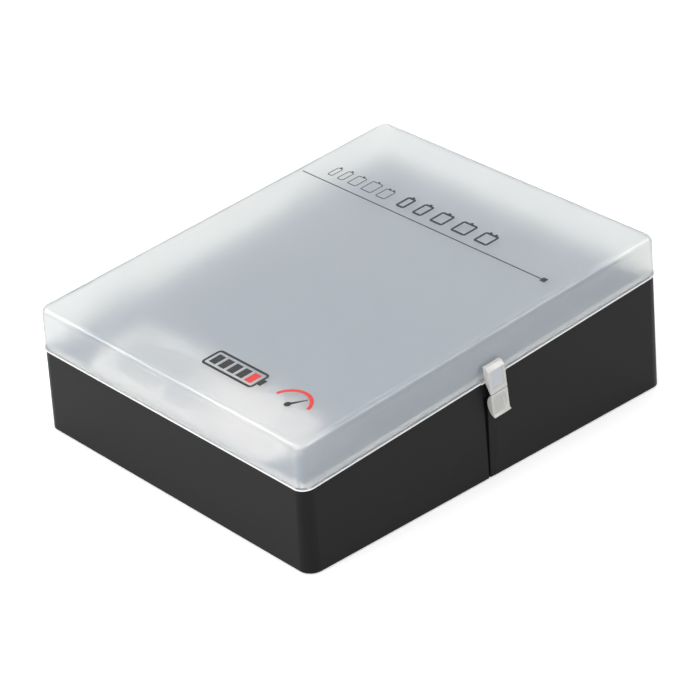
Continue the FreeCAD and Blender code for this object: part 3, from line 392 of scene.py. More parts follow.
@dataclass(frozen=True)
class LatchPlastic(Look):
    """Natural latch plastic: pale where it is thick, cooler and darker in its thin windows,
    and darker in the thumb scoop, where the colour is painted shade of its hollow.

    Attributes:
        name: The finish's own name.
        thick: Colour of the thick frame.
        window: Colour of the thin window.
        scoop: Colour of the thumb scoop, darker than the frame: painted shade in its hollow.
        middle: Place of the latch's middle along X.
        half_window: Half the width of window and scoop.
        window_band: Heights over the rim, from and to, of the window.
        scoop_band: The same of the scoop.
        edge: Width over which one colour turns into the other.
        roughness: Roughness of the surface.
        depth: Share of the light that wanders under the surface.
        reach: How far it wanders.
    """

    name: str = "latch plastic"
    thick: Colour = linear(206, 206, 203)
    window: Colour = linear(198, 202, 210)
    # Painted shade: the thumb scoop's hollow is coloured darker than the frame.
    scoop: Colour = linear(194, 194, 191)
    middle: float = 2.2 * MM
    half_window: float = 3.45 * MM
    window_band: tuple[float, float] = (-3.3 * MM, 5.1 * MM)
    scoop_band: tuple[float, float] = (-16.2 * MM, -7.0 * MM)
    edge: float = 0.3 * MM
    roughness: float = 0.3
    depth: float = 0.3
    reach: float = 2.0 * MM

    def band(self, graph: Graph, place: Socket, low: float, high: float) -> Socket:
        """A soft band: one between two places and nothing outside them.

        Args:
            graph: The node tree to add to.
            place: Socket with the place.
            low: Lower end of the band.
            high: Upper end of the band.

        Returns:
            A socket with the band.
        """
        away = graph.maths("ABSOLUTE", graph.maths("SUBTRACT", place, (low + high) / 2))
        half = (high - low) / 2
        inside = graph.add("ShaderNodeMapRange", {
            "Value": away, "From Min": half, "From Max": half - self.edge,
        })
        return inside.outputs["Result"]

    def shade(self, graph: Graph) -> None:
        """Sets up the nodes of a new material.

        Args:
            graph: Its node tree.
        """
        along, height = graph.over_rim()
        across = self.band(
            graph, along, self.middle - self.half_window, self.middle + self.half_window
        )
        colour = (*self.thick, 1.0)
        # The window keeps its own cooler tone; the scoop's darker tone is painted shade in its
        # hollow.
        for tone, (low, high) in (
            (self.window, self.window_band), (self.scoop, self.scoop_band),
        ):
            row = self.band(graph, height, RIM_MIDDLE + low, RIM_MIDDLE + high)
            both = graph.maths("MULTIPLY", row, across)
            colour = graph.colours(both, colour, (*tone, 1.0))
        graph.feed(graph.principled, {
            "Base Color": colour,
            "Roughness": self.roughness,
            "Subsurface Weight": self.depth,
            "Subsurface Radius": (self.reach,) * 3,
        })


class Finishes:
    """Every finish of the case."""

    lid = FrostedPlastic()
    base = Finish(
        "base satin", (0.007, 0.007, 0.0073), roughness=0.45, specular=0.14, grain=Grain.SATIN
    )
    tray = Finish(
        "tray satin", (0.010, 0.010, 0.0105), roughness=0.5, specular=0.3, grain=Grain.SATIN
    )
    latch = LatchPlastic()
    face = Finish("tester face", linear(248, 242, 242), roughness=0.3)
    housing = Finish("tester housing", linear(34, 34, 36), roughness=0.5, grain=Grain.SATIN)
    lens = Finish("dial lens", (0.95, 0.97, 0.98), roughness=0.03, transmission=1.0, ior=1.46,
                  mottle=0.0)
    card = Finish("dial card", linear(240, 238, 230), roughness=0.8)
    needle = Finish("needle enamel", linear(196, 30, 24), roughness=0.35)
    slider = Finish("slider plastic", linear(150, 152, 156), roughness=0.35)
    nickel = Finish("nickel strip", (0.72, 0.70, 0.66), roughness=0.22, metallic=1.0)
    zinc = Finish("zinc steel", (0.56, 0.57, 0.58), roughness=0.34, metallic=1.0)
    rubber = Finish("foot rubber", linear(34, 34, 34), roughness=0.85, grain=Grain.SPARK)
    board = Finish("board", linear(120, 84, 50), roughness=0.6)
    lacquer = Finish("resistor lacquer", linear(200, 178, 130), roughness=0.45)
    ink = Finish("print ink", linear(26, 27, 30), roughness=0.5)
    red_ink = Finish("red print ink", linear(222, 48, 40), roughness=0.45)
    band_empty = Finish("scale band empty", linear(206, 52, 40), roughness=0.6)
    band_low = Finish("scale band low", linear(236, 190, 46), roughness=0.6)
    band_good = Finish("scale band good", linear(62, 150, 72), roughness=0.6)


NODE_FINISH: dict[str, Look] = {
    "base_shell": Finishes.base,
    "bottom_cover": Finishes.base,
    "cover_screws": Finishes.zinc,
    "rubber_feet": Finishes.rubber,
    "cell_tray": Finishes.tray,
    "lid": Finishes.lid,
    "hinge_pins": Finishes.zinc,
    "latch_plate": Finishes.latch,
    "latch_flap": Finishes.latch,
    "tester_case": Finishes.housing,
    "tester_face": Finishes.face,
    "dial_lens": Finishes.lens,
    "dial_card": Finishes.card,
    "meter_movement": Finishes.housing,
    "meter_needle": Finishes.needle,
    "contact_slider": Finishes.slider,
    "sliding_contact": Finishes.nickel,
    "fixed_contact": Finishes.nickel,
    "block_cell_studs": Finishes.nickel,
    "circuit_board": Finishes.board,
    "load_resistors": Finishes.lacquer,
    "tester_screws": Finishes.zinc,
}


def dress(piece: bpy.types.Object, finish: Look) -> None:
    """Gives a piece one finish all over.

    Args:
        piece: The object to dress.
        finish: Its finish.
    """
    piece.data.materials.clear()
    piece.data.materials.append(finish.material())


def dress_nodes() -> None:
    """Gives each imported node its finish."""
    for name, finish in NODE_FINISH.items():
        dress(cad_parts[name], finish)
        LOG.info("dressed node %s with %s", name, finish.name)


# ---------------------------------------------------------------- surfaces


def new_object(name: str, data: bpy.types.ID) -> bpy.types.Object:
    """Adds an object to the scene.

    Args:
        name: The object's name.
        data: Its mesh, light or camera.

    Returns:
        The object.
    """
    made = bpy.data.objects.new(name, data)
    bpy.context.scene.collection.objects.link(made)
    return made


def mesh_piece(name: str, points: Points, faces: list[list[int]]) -> bpy.types.Object:
    """Puts points and faces into a new object at the origin.

    Args:
        name: The object's name.
        points: Vertices as an N by 3 array.
        faces: Vertex numbers of each face, turning left seen from outside.

    Returns:
        The linked object.
    """
    data = bpy.data.meshes.new(name)
    data.from_pydata(points.tolist(), [], faces)
    data.validate()
    data.update()
    return new_object(name, data)


@dataclass(frozen=True)
class Slant:
    """A flat face that climbs along X: places on it are measured up the slope and along Y.

    Attributes:
        origin: The face's own zero.
        climb: Rise over run.
    """

    origin: tuple[float, float, float]
    climb: float

    def lay(self, flat: Points, lift: Points | float) -> Points:
        """Turns places on the face, and heights along its normal, into places in space.

        Args:
            flat: N by 2 places, the first up the slope and the second along Y.
            lift: Height over the face, one for each place or one for all.

        Returns:
            N by 3 places.
        """
        run = math.hypot(1.0, self.climb)
        uphill = np.array([1.0, 0.0, self.climb]) / run
        normal = np.array([-self.climb, 0.0, 1.0]) / run
        across = np.array([0.0, 1.0, 0.0])
        height = np.broadcast_to(lift, len(flat))
        return (
            np.array(self.origin)
            + flat[:, :1] * uphill + flat[:, 1:] * across + height[:, None] * normal
        )


def rectangle(low_x: float, high_x: float, low_y: float, high_y: float) -> Points:
    """Corners of a rectangle.

    Args:
        low_x: Where it starts along the first axis.
        high_x: Where it ends along the first axis.
        low_y: Where it starts along the second axis.
        high_y: Where it ends along the second axis.

    Returns:
        The corners as a 4 by 2 array, turning left.
    """
    return np.array([(low_x, low_y), (high_x, low_y), (high_x, high_y), (low_x, high_y)])


def rounded_outline(length: float, width: float, radius: float, steps: int = 8) -> Points:
    """Outline of a rounded rectangle: four corner centres plus a turning radius.

    Args:
        length: Size along the first axis.
        width: Size along the second axis.
        radius: Corner radius.
        steps: Points on each corner.

    Returns:
        The outline as an N by 2 array, turning left.
    """
    quarter = np.linspace(0.0, math.pi / 2, steps)
    angles = np.concatenate([quarter + turn * math.pi / 2 for turn in range(4)])
    signs = np.array([(1, 1), (-1, 1), (-1, -1), (1, -1)]).repeat(steps, axis=0)
    centres = signs * (np.array([length, width]) / 2 - radius)
    return centres + radius * np.stack([np.cos(angles), np.sin(angles)], axis=1)


def arc_band(inner: float, outer: float, start: float, end: float, steps: int = 24) -> Points:
    """Outline of a piece of a ring: the outer arc one way and the inner arc back.

    Args:
        inner: Inner radius.
        outer: Outer radius.
        start: First angle in degrees.
        end: Last angle in degrees.
        steps: Points on each arc.

    Returns:
        The outline as an N by 2 array round zero, turning left.
    """
    turn = np.radians(np.linspace(start, end, steps))
    ray = np.stack([np.cos(turn), np.sin(turn)], axis=1)
    return np.vstack([outer * ray, inner * ray[::-1]])


def turned(flat: Points, degrees: float) -> Points:
    """Turns places round zero.

    Args:
        flat: N by 2 places.
        degrees: How far they turn to the left.

    Returns:
        The turned places.
    """
    turn = math.radians(degrees)
    return flat @ np.array([
        (math.cos(turn), math.sin(turn)), (-math.sin(turn), math.cos(turn))
    ])


def between(low: int, high: int, count: int) -> list[list[int]]:
    """Faces between two closed rings: one for each point and the next, on both rings.

    Args:
        low: Number of the first ring's first point.
        high: Number of the second ring's first point.
        count: Points on each ring.

    Returns:
        Point numbers of each face.
    """
    ring = np.arange(count)
    after = np.roll(ring, -1)
    return np.column_stack([ring + low, ring + high, after + high, after + low]).tolist()


@dataclass(frozen=True)
class FlatPrint:
    """Ink laid on a face: flat outlines become thin closed slabs on it.

    Attributes:
        face: The face that carries the ink.
        film: How far the ink stands proud.
        key: How far it reaches into the surface under it.
    """

    face: Slant
    film: float = 0.05 * MM
    key: float = 0.03 * MM

    def slab(self, outline: Points) -> Shape:
        """A filled outline: the same points above and below the face, capped both ways.

        Args:
            outline: N by 2 places on the face, turning left seen from above.

        Returns:
            Vertices and faces of the slab.
        """
        count = len(outline)
        caps = [list(range(count)), list(range(2 * count - 1, count - 1, -1))]
        points = [self.face.lay(outline, height) for height in (self.film, -self.key)]
        return np.vstack(points), caps + between(0, count, count)

    def stroke(self, path: Points, width: float) -> Shape:
        """A closed line of even width: a rectangle carried along a closed path.

        Args:
            path: N by 2 middle line, turning left.
            width: Width of the line.

        Returns:
            Vertices and faces of the closed band.
        """
        ahead = np.roll(path, -1, axis=0) - np.roll(path, 1, axis=0)
        ahead /= np.linalg.norm(ahead, axis=1, keepdims=True)
        outward = np.column_stack([ahead[:, 1], -ahead[:, 0]]) * width / 2
        outer, inner = path + outward, path - outward
        rows = [
            self.face.lay(edge, lift)
            for edge, lift in ((outer, self.film), (inner, self.film), (inner, -self.key),
                               (outer, -self.key))
        ]
        count, faces = len(path), []
        for row in range(len(rows)):
            faces += between((row + 1) % len(rows) * count, row * count, count)
        return np.vstack(rows), faces


def gather(parts: list[Shape]) -> Shape:
    """Joins several point and face lists into one.

    Args:
        parts: Pairs of vertices and faces.

    Returns:
        All vertices, and all faces with their numbers moved on.
    """
    points, faces, start = [], [], 0
    for some_points, some_faces in parts:
        points.append(some_points)
        faces += [[corner + start for corner in face] for face in some_faces]
        start += len(some_points)
    return np.vstack(points), faces


def close_up(piece: bpy.types.Object, gap: float = 0.001 * MM) -> None:
    """Merges doubled points and turns every face outwards.

    Args:
        piece: The object to close.
        gap: Points nearer than this become one.
    """
    shape = bmesh.new()
    shape.from_mesh(piece.data)
    bmesh.ops.remove_doubles(shape, verts=shape.verts, dist=gap)
    bmesh.ops.dissolve_degenerate(shape, edges=shape.edges, dist=gap)
    bmesh.ops.recalc_face_normals(shape, faces=shape.faces)
    shape.to_mesh(piece.data)
    shape.free()


def settle(
    piece: bpy.types.Object, finish: Look, body: str, node: str | None = None
) -> None:
    """Dresses a new piece and says where it belongs.

    Args:
        piece: The new piece.
        finish: Its finish.
        body: The body it rides on.
        node: The node that it stands for, if there is one.
    """
    dress(piece, finish)
    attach(piece, body)
    if node:
        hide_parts(node)


@dataclass(frozen=True)
class Softened:
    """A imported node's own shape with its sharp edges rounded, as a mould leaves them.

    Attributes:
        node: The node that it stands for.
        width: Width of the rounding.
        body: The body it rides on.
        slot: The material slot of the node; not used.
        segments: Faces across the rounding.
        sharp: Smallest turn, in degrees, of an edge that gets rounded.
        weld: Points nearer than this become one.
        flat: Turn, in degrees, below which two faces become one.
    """

    node: str
    width: float
    body: str
    slot: str
    segments: int = 3
    sharp: float = 35.0
    weld: float = 0.002 * MM
    flat: float = 0.5

    def build(self) -> None:
        """Copies the node's mesh, merges it, rounds its edges and hides the node."""
        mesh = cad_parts[self.node].data.copy()
        mesh.name = self.node + "_softened"
        piece = new_object(mesh.name, mesh)
        shape = bmesh.new()
        shape.from_mesh(mesh)
        bmesh.ops.remove_doubles(shape, verts=shape.verts, dist=self.weld)
        bmesh.ops.dissolve_limit(
            shape, angle_limit=math.radians(self.flat), verts=shape.verts, edges=shape.edges
        )
        for part in (*shape.faces, *shape.edges):
            part.smooth = True
        shape.to_mesh(mesh)
        shape.free()
        rounding = piece.modifiers.new("rounding", "BEVEL")
        rounding.width = self.width
        rounding.segments = self.segments
        rounding.limit_method = "ANGLE"
        rounding.angle_limit = math.radians(self.sharp)
        rounding.harden_normals = True
        settle(piece, NODE_FINISH[self.node], self.body, self.node)
        LOG.info("softened %s by %.2f mm", self.node, self.width / MM)


SOFTENED = (
    Softened("latch_plate", 0.4 * MM, "lid", "latch_plastic"),
    Softened("latch_flap", 0.35 * MM, "latch", "latch_plastic"),
    Softened("contact_slider", 0.5 * MM, "slider", "slider_plastic"),
)


# ---------------------------------------------------------------- turned hardware


@dataclass(frozen=True)
class TurnedSet:
    """Equal round parts at four places under the case, one profile turned round each axis.

    Attributes:
        name: The piece's name.
        node: The node that it stands for.
        slot: The material slot of the node; not used.
        inset: Distance of each axis from the sides of the case's foot.
        profile: Radius and height of each ring, from the lower middle outwards and up.
        recess: Depth of the cross recess in the lower face, or nothing.
        arm_length: Half the length of the cross's bars.
        arm_width: Half their width.
        flank: Width of the slope along the recess's edges.
        steps: Points on each ring.
        sharp: Smallest turn, in degrees, that shows as an edge.
    """

    name: str
    node: str
    slot: str
    inset: float
    profile: Points
    recess: float = 0.0
    arm_length: float = 1.7 * MM
    arm_width: float = 0.42 * MM
    flank: float = 0.18 * MM
    steps: int = 48
    sharp: float = 40.0

    def cross(self, along: Points, across: Points) -> Points:
        """Depth of the recess: full inside two crossed bars, sloping to nothing at their edges.

        Args:
            along: Places along the first bar, from the axis.
            across: Places along the second bar, from the axis.

        Returns:
            The depth at each place.
        """
        depth = np.zeros_like(along)
        for one, other in ((along, across), (across, along)):
            inside = np.minimum(
                (self.arm_length - np.abs(one)) / self.flank,
                (self.arm_width - np.abs(other)) / self.flank,
            )
            depth = np.maximum(depth, np.clip(inside, 0.0, 1.0))
        return depth * self.recess

    def one(self, centre: Points) -> Shape:
        """The surface of one part: radius and height by ring, turned round its axis.

        Args:
            centre: Place of the axis.

        Returns:
            Vertices and faces.
        """
        radius, height = self.profile.T
        angle = np.linspace(0.0, 2 * math.pi, self.steps, endpoint=False)
        along = radius[:, None] * np.cos(angle)
        across = radius[:, None] * np.sin(angle)
        lift = np.broadcast_to(height[:, None], along.shape).copy()
        if self.recess:
            face = radius < self.arm_length + self.flank
            face &= height <= height.min() + self.flank
            lift[face] += self.cross(along[face], across[face])
        points = np.stack([along + centre[0], across + centre[1], lift], axis=-1)
        faces = []
        for low in range(0, (len(radius) - 1) * self.steps, self.steps):
            faces += between(low, low + self.steps, self.steps)
        return points.reshape(-1, 3), faces

    def build(self) -> None:
        """Makes the four parts as one piece in place of their node."""
        reach = np.array([CASE_LENGTH, FOOT_WIDTH]) / 2 - self.inset
        spots = reach * [(-1, -1), (-1, 1), (1, -1), (1, 1)]
        piece = mesh_piece(self.name, *gather([self.one(spot) for spot in spots]))
        close_up(piece)
        piece.data.shade_smooth()
        piece.data.set_sharp_from_angle(angle=math.radians(self.sharp))
        settle(piece, NODE_FINISH[self.node], "base", self.node)
        LOG.info("%s: %d parts", self.name, len(spots))


# The screw's flat face in millimetres, as rings close enough together to show its recess.
SCREW_FACE = [(radius, 0.62) for radius in np.linspace(0.0, 2.0, 21)]

TURNED = (
    TurnedSet(
        "cover_screw_heads", "cover_screws", "steel", 8.6 * MM,
        MM * np.array(SCREW_FACE + [
            (2.3, 0.72), (2.6, 0.95), (2.76, 1.3), (2.8, 1.98), (1.4, 1.98), (1.4, 12.6),
            (0.9, 13.8), (0.0, 13.9),
        ]),
        recess=0.75 * MM,
    ),
    TurnedSet(
        "foot_pads", "rubber_feet", "rubber", 18.0 * MM,
        MM * np.array([
            (0.0, 0.25), (4.2, 0.25), (4.5, 0.05), (4.8, 0.0), (5.9, 0.0), (6.25, 0.08),
            (6.45, 0.35), (6.5, 0.7), (6.5, 2.0), (0.0, 2.0),
        ]),
    ),
)


# ---------------------------------------------------------------- lid print


ROOF_PRINT = FlatPrint(Slant((0.0, 0.0, ROOF_MIDDLE), ROOF_CLIMB))
TWIN_POSTS = (-0.45, 0.45)


def inked(name: str, parts: list[Shape], finish: Look, body: str) -> None:
    """Makes one piece of ink from its slabs and strokes.

    Args:
        name: The piece's name.
        parts: Pairs of vertices and faces.
        finish: Its finish.
        body: The body it rides on.
    """
    settle(mesh_piece(name, *gather(parts)), finish, body)
    LOG.info("%s: %d marks", name, len(parts))


@dataclass(frozen=True)
class CellIcon:
    """A plain outline of one kind of cell, as wide and tall as the kind is in proportion.

    Attributes:
        width: Width of the body.
        height: Height of the body.
        posts: Places of the terminal posts across the width, from -1 to 1.
        corner: Radius of the body's corners.
        post_half: Half the width of a post, without the line's own part.
        post_height: Height of a post.
    """

    width: float
    height: float
    posts: tuple[float, ...] = (0.0,)
    corner: float = 0.8 * MM
    post_half: float = 0.45 * MM
    post_height: float = 0.9 * MM

    def marks(self, foot: float, across: float, line: float) -> list[Shape]:
        """Strokes of the icon: its body's outline and a small block for each post.

        Args:
            foot: Place of its foot up the slope.
            across: Place of its middle along Y.
            line: Width of the stroke.

        Returns:
            Pairs of vertices and faces.
        """
        path = rounded_outline(self.height, self.width, self.corner)
        made = [ROOF_PRINT.stroke(path + (foot + self.height / 2, across), line)]
        top = foot + self.height + line / 2
        half = self.post_half + line / 4
        for post in self.posts:
            middle = across + post * self.width / 2
            block = rectangle(top, top + self.post_height, middle - half, middle + half)
            made.append(ROOF_PRINT.slab(block))
        return made


@dataclass(frozen=True)
class IconRow:
    """Cell outlines of one weight, side by side towards -Y on the same line.

    Attributes:
        start: Where the row starts along Y.
        line: Width of the strokes.
        gap: Room between two icons.
        icons: The icons in order.
    """

    start: float
    line: float
    gap: float
    icons: tuple[CellIcon, ...]

    def marks(self, foot: float) -> list[Shape]:
        """Strokes of the whole row.

        Args:
            foot: Place of the line that the icons stand on, up the slope.

        Returns:
            Pairs of vertices and faces.
        """
        made, across = [], self.start
        for icon in self.icons:
            across -= icon.width / 2
            made += icon.marks(foot, across, self.line)
            across -= icon.width / 2 + self.gap
        return made


@dataclass(frozen=True)
class ChargeGauge:
    """A plain charge sign: a lying cell with bars, and a dial with a needle.

    Attributes:
        place: Middle of the cell up the slope, and its foot end along Y.
        cell: Width and length of the cell's outline.
        corner: Radius of its corners.
        line: Width of its line.
        post: Half the width and the length of its terminal.
        bars: Number of bars in it; the last is red.
        bar: Half the width and the length of a bar.
        bar_start: Distance of the first bar from the foot end.
        bar_step: Distance from bar to bar.
        hub: Place of the dial's hub, from the gauge's own place.
        hub_size: Width of the hub and radius of its corners, a little under half of it.
        arc: Inner and outer radius of the dial's arc.
        sweep: How far the arc goes to each side, in degrees.
        needle_length: Length of the needle.
        needle_half: Half its width at the hub and at the tip.
        needle_turn: Turn of the needle in degrees.
    """

    place: tuple[float, float] = (-86.0 * MM, -6.0 * MM)
    cell: tuple[float, float] = (11.0 * MM, 33.0 * MM)
    corner: float = 1.6 * MM
    line: float = 1.3 * MM
    post: tuple[float, float] = (2.2 * MM, 2.0 * MM)
    bars: int = 5
    bar: tuple[float, float] = (3.4 * MM, 4.2 * MM)
    bar_start: float = 2.2 * MM
    bar_step: float = 6.0 * MM
    hub: tuple[float, float] = (-4.0 * MM, -56.0 * MM)
    hub_size: tuple[float, float] = (3.4 * MM, 1.69 * MM)
    arc: tuple[float, float] = (9.6 * MM, 11.4 * MM)
    sweep: float = 75.0
    needle_length: float = 9.0 * MM
    needle_half: tuple[float, float] = (0.9 * MM, 0.25 * MM)
    needle_turn: float = -32.0

    def lying_cell(self) -> list[Shape]:
        """The cell: its outline, its terminal and its bars.

        Returns:
            Pairs of vertices and faces, the last bar last.
        """
        x, y = self.place
        width, length = self.cell
        outline = rounded_outline(width, length, self.corner) + (x, y - length / 2)
        blocks = [(*self.post, y - length - self.line / 2)]
        for bar in range(self.bars):
            blocks.append((*self.bar, y - self.bar_start - bar * self.bar_step))
        return [ROOF_PRINT.stroke(outline, self.line)] + [
            ROOF_PRINT.slab(rectangle(x - half, x + half, top - size, top))
            for half, size, top in blocks
        ]

    def marks(self) -> tuple[list[Shape], list[Shape]]:
        """Every mark of the gauge.

        Returns:
            The dark marks and the red ones.
        """
        *dark, last_bar = self.lying_cell()
        hub = np.array(self.place) + self.hub
        arc = arc_band(*self.arc, -self.sweep, self.sweep)
        foot, tip = self.needle_half
        end = self.needle_length
        needle = np.array([(0.0, -foot), (end, -tip), (end, tip), (0.0, foot)])
        width, corner = self.hub_size
        for flat in (turned(needle, self.needle_turn), rounded_outline(width, width, corner)):
            dark.append(ROOF_PRINT.slab(flat + hub))
        return dark, [last_bar, ROOF_PRINT.slab(arc + hub)]


@dataclass(frozen=True)
class LidPrint:
    """The ink on the lid: a rule across it with a square end, cell outlines and a gauge.

    Attributes:
        rule_x: Place of the rule up the slope.
        rule_start: Its end away from the latch, along Y.
        rule_end: Its end at the square, along Y.
        rule_width: Its width.
        square: Side of the square.
        foot: Place of the line that the icons stand on, up the slope.
        bold: The icons nearer to the latch.
        thin: The icons away from it.
        gauge: The charge sign at the low end.
    """

    rule_x: float = 49.1 * MM
    rule_start: float = 85.6 * MM
    rule_end: float = -77.2 * MM
    rule_width: float = 0.6 * MM
    square: float = 3.0 * MM
    foot: float = 54.4 * MM
    bold: IconRow = IconRow(24.6 * MM, 1.25 * MM, 6.8 * MM, (
        CellIcon(4.4 * MM, 8.2 * MM),
        CellIcon(5.2 * MM, 8.6 * MM),
        CellIcon(7.4 * MM, 8.4 * MM),
        CellIcon(8.6 * MM, 8.6 * MM),
        CellIcon(7.8 * MM, 8.0 * MM, TWIN_POSTS),
    ))
    thin: IconRow = IconRow(73.6 * MM, 0.5 * MM, 3.8 * MM, (
        CellIcon(3.0 * MM, 7.2 * MM),
        CellIcon(3.6 * MM, 7.9 * MM),
        CellIcon(5.6 * MM, 7.9 * MM),
        CellIcon(6.8 * MM, 8.6 * MM),
        CellIcon(6.0 * MM, 7.6 * MM, TWIN_POSTS),
    ))
    gauge: ChargeGauge = ChargeGauge()

    def rule(self) -> list[Shape]:
        """The rule across the lid and the square at its end.

        Returns:
            Pairs of vertices and faces.
        """
        blocks = (
            (self.rule_width / 2, self.rule_end, self.rule_start),
            (self.square / 2, self.rule_end - self.square, self.rule_end),
        )
        return [
            ROOF_PRINT.slab(rectangle(self.rule_x - half, self.rule_x + half, start, end))
            for half, start, end in blocks
        ]

    def build(self) -> None:
        """Makes the dark and the red ink, which ride on the lid."""
        dark, red = self.gauge.marks()
        dark += self.rule()
        for row in (self.bold, self.thin):
            dark += row.marks(self.foot)
        inked("lid_print", dark, Finishes.ink, "lid")
        inked("lid_print_red", red, Finishes.red_ink, "lid")


# ---------------------------------------------------------------- tester print


@dataclass(frozen=True)
class TesterPrint:
    """Marks of the tester: a three-band scale round the needle, and polarity signs.

    Places are measured on the tray's deck, up its slope and along Y, from the tester's middle.

    Attributes:
        middle: The tester's middle on the deck.
        card_top: Height of the dial card's upper side over the deck.
        face_top: Height of the face's upper side over the deck.
        pivot: Place of the needle's pivot.
        band: Inner and outer radius of the three bands.
        tick: Inner and outer radius of the ticks.
        tick_half: Half the width of a tick.
        line: Width of the line that joins the ticks.
        sweep: Ends of the three bands, in degrees.
        ticks: Number of ticks.
        sign_arm: Half the length of a sign's bar.
        sign_half: Half its width.
        sign_x: Place of both signs up the slope.
        plus_y: Place of the plus.
        minus_y: Place of the minus.
    """

    middle: tuple[float, float, float] = (-84.0 * MM, 3.5 * MM, 41.0736 * MM)
    card_top: float = -5.6 * MM
    face_top: float = 1.2 * MM
    pivot: tuple[float, float] = (-9.5 * MM, 37.4 * MM)
    band: tuple[float, float] = (14.6 * MM, 17.6 * MM)
    tick: tuple[float, float] = (12.6 * MM, 14.0 * MM)
    tick_half: float = 0.16 * MM
    line: float = 0.25 * MM
    sweep: tuple[float, ...] = (-40.0, -14.0, 8.0, 40.0)
    ticks: int = 9
    sign_arm: float = 1.5 * MM
    sign_half: float = 0.275 * MM
    sign_x: float = 16.0 * MM
    plus_y: float = 6.0 * MM
    minus_y: float = -50.0 * MM

    def plane(self, lift: float) -> FlatPrint:
        """The print on a plane of the tester.

        Args:
            lift: Height of the plane over the tray's deck.

        Returns:
            The print.
        """
        run = math.hypot(1.0, RIM_CLIMB)
        x, y, z = self.middle
        return FlatPrint(Slant((x - lift * RIM_CLIMB / run, y, z + lift / run), RIM_CLIMB))

    def scale(self) -> None:
        """The dial's bands, its ticks and the line that joins them."""
        ink = self.plane(self.card_top)
        bands = (
            ("dial_band_empty", Finishes.band_empty),
            ("dial_band_low", Finishes.band_low),
            ("dial_band_good", Finishes.band_good),
        )
        for (name, finish), start, end in zip(bands, self.sweep, self.sweep[1:]):
            slab = ink.slab(arc_band(*self.band, start, end) + self.pivot)
            inked(name, [slab], finish, "base")
        start, end = self.sweep[0], self.sweep[-1]
        inner, outer = self.tick
        tick = rectangle(inner, outer, -self.tick_half, self.tick_half)
        marks = [
            ink.slab(turned(tick, angle) + self.pivot)
            for angle in np.linspace(start, end, self.ticks)
        ]
        marks.append(ink.slab(arc_band(outer, outer + self.line, start, end) + self.pivot))
        inked("dial_ticks", marks, Finishes.ink, "base")

    def signs(self) -> None:
        """A plus by the sliding contact and a minus by the fixed one."""
        ink = self.plane(self.face_top)
        arm, half = self.sign_arm, self.sign_half
        minus = rectangle(-half, half, -arm, arm)
        quarter = np.array([(-arm, -half), (-half, -half), (-half, -arm)])
        plus = np.vstack([turned(quarter, 90.0 * side) for side in range(4)])
        marks = [
            ink.slab(plus + (self.sign_x, self.plus_y)),
            ink.slab(minus + (self.sign_x, self.minus_y)),
        ]
        inked("polarity_signs", marks, Finishes.ink, "base")

    def build(self) -> None:
        """Makes every mark of the tester."""
        self.scale()
        self.signs()


# ---------------------------------------------------------------- studio


@dataclass(frozen=True)
class Lamp:
    """A soft rectangular lamp turned towards the case.

    Attributes:
        name: The lamp's name.
        place: Where it hangs.
        sides: Lengths of its sides.
        power: Its power in watts.
        along: Direction of its first side, as near as its turn allows.
        aim: The point that it is turned to.
        shine_only: Whether it shows as a reflection only, as on rounded glossy edges.
    """

    name: str
    place: tuple[float, float, float]
    sides: tuple[float, float]
    power: float
    along: tuple[float, float, float] = (0.0, 0.0, 1.0)
    aim: tuple[float, float, float] = (0.0, 0.0, 0.03)
    shine_only: bool = False

    def build(self) -> None:
        """Makes the lamp, square to the line towards its aim."""
        light = bpy.data.lights.new(self.name, "AREA")
        light.shape = "RECTANGLE"
        light.size, light.size_y = self.sides
        light.energy = self.power
        place, along = Vector(self.place), Vector(self.along)
        back = (place - Vector(self.aim)).normalized()
        side = (along - back * along.dot(back)).normalized()
        axes = Matrix((side, back.cross(side), back)).transposed().to_4x4()
        lamp = new_object(self.name, light)
        lamp.matrix_world = Matrix.Translation(place) @ axes
        lamp.visible_diffuse = lamp.visible_transmission = not self.shine_only


@dataclass(frozen=True)
class Strip(Lamp):
    """A long narrow lamp aimed at the foot of the case, of which only the reflection shows."""

    sides: tuple[float, float] = (2.6, 0.35)
    power: float = 36.0
    aim: tuple[float, float, float] = (0.0, 0.0, 0.0)
    shine_only: bool = True


@dataclass(frozen=True)
class FloorWhite(Look):
    """White floor that glows a little for the rays that see it, and so meets the surround.

    Attributes:
        name: The finish's own name.
        tone: Level of its white.
        roughness: Roughness of its surface.
        glow: Strength of its glow.
    """

    name: str = "floor white"
    tone: float = 0.86
    roughness: float = 0.9
    glow: float = 0.42

    def shade(self, graph: Graph) -> None:
        """Sets up the nodes of a new material.

        Args:
            graph: Its node tree.
        """
        graph.feed(graph.principled, {
            "Base Color": (self.tone, self.tone, self.tone, 1.0),
            "Roughness": self.roughness,
            "Emission Color": WHITE,
            "Emission Strength": graph.maths("MULTIPLY", graph.seen(), self.glow),
        })


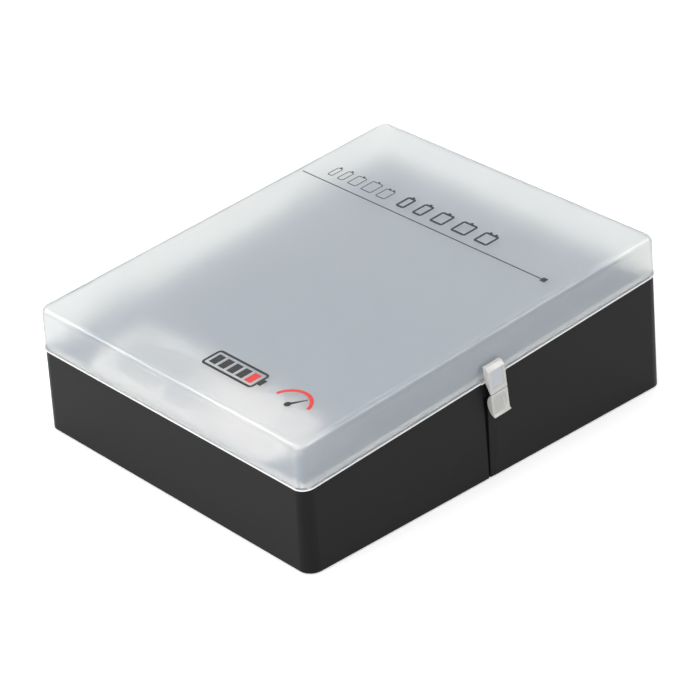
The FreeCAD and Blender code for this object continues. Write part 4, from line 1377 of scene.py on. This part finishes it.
@dataclass(frozen=True)
class Studio:
    """Camera, floor and soft lights around the case.

    Attributes:
        azimuth: Camera's turn round the case in degrees; 0 looks along +Y.
        elevation: Camera's height above the floor in degrees.
        roll: Turn of the picture in degrees.
        target: The point at the middle of the picture.
        distance: Camera's distance from it.
        lens: Focal length for the sensor's width.
        sensor: Sensor's width.
        far: How far the camera sees.
        floor_half: Half the side of the floor.
        surround: Strength of the surround where it lights; where it is seen it is 1.
        lamps: The lamps.
    """

    azimuth: float = -39.84
    elevation: float = 29.92
    roll: float = -4.13
    target: tuple[float, float, float] = (31.6 * MM, 39.2 * MM, 0.6 * MM)
    distance: float = 1.498
    lens: float = 159.8
    sensor: float = 36.0
    far: float = 100.0
    floor_half: float = 6.0
    surround: float = 0.75
    lamps: tuple[Lamp, ...] = (
        Lamp("key", (-1.5, -0.2, 1.0), (1.2, 1.2), 11.0),
        Lamp("top", (0.2, 0.4, 2.0), (1.6, 1.6), 9.5),
        Strip("left strip", (-1.25, 1.6625, 1.3875), along=(0.0, 1.0, 0.0)),
        Strip("right strip", (1.3875, -1.25, 1.6625), along=(1.0, 0.0, 0.0)),
    )

    def camera(self) -> None:
        """Sets the scene's camera from its angles, looking at the target."""
        turn, lift, roll = (
            math.radians(angle) for angle in (self.azimuth, self.elevation, self.roll)
        )
        back = Vector((
            math.sin(turn) * math.cos(lift), -math.cos(turn) * math.cos(lift), math.sin(lift)
        ))
        right = (-back).cross(Vector((0, 0, 1))).normalized()
        upward = right.cross(-back)
        rolled_right = math.cos(roll) * right + math.sin(roll) * upward
        rolled_up = -math.sin(roll) * right + math.cos(roll) * upward
        place = Vector(self.target) + back * self.distance
        lens = bpy.data.cameras.new("camera")
        lens.lens = self.lens
        lens.sensor_width = self.sensor
        lens.clip_end = self.far
        camera = new_object("camera", lens)
        axes = Matrix((rolled_right, rolled_up, back)).transposed().to_4x4()
        camera.matrix_world = Matrix.Translation(place) @ axes
        bpy.context.scene.camera = camera

    def world(self) -> None:
        """A white surround where it is seen and a softer one where it lights."""
        world = bpy.data.worlds.new("surround")
        world.use_nodes = True
        bpy.context.scene.world = world
        graph = Graph(world.node_tree)
        strength = graph.add("ShaderNodeMix", {
            "Factor": graph.seen(), "A": self.surround, "B": 1.0,
        })
        graph.feed(graph.tree.nodes["Background"], {
            "Color": WHITE, "Strength": strength.outputs["Result"],
        })

    def floor(self) -> None:
        """A white floor that keeps the case's shadow."""
        half = self.floor_half
        corners = np.insert(rectangle(-half, half, -half, half), 2, 0.0, axis=1)
        piece = mesh_piece("floor", corners, [[0, 1, 2, 3]])
        dress(piece, FloorWhite())

    def build(self) -> None:
        """Sets up camera, surround, floor and lamps."""
        self.camera()
        self.world()
        self.floor()
        for lamp in self.lamps:
            lamp.build()
        LOG.info("studio ready")


def main() -> None:
    logging.basicConfig(level=logging.INFO, format="%(name)s: %(message)s")
    bpy.context.scene.view_settings.view_transform = "Standard"
    dress_nodes()
    for piece in SOFTENED + TURNED:
        piece.build()
    for marks in (LidPrint(), TesterPrint()):
        marks.build()
    Studio().build()


if __name__ == "__main__":
    main()
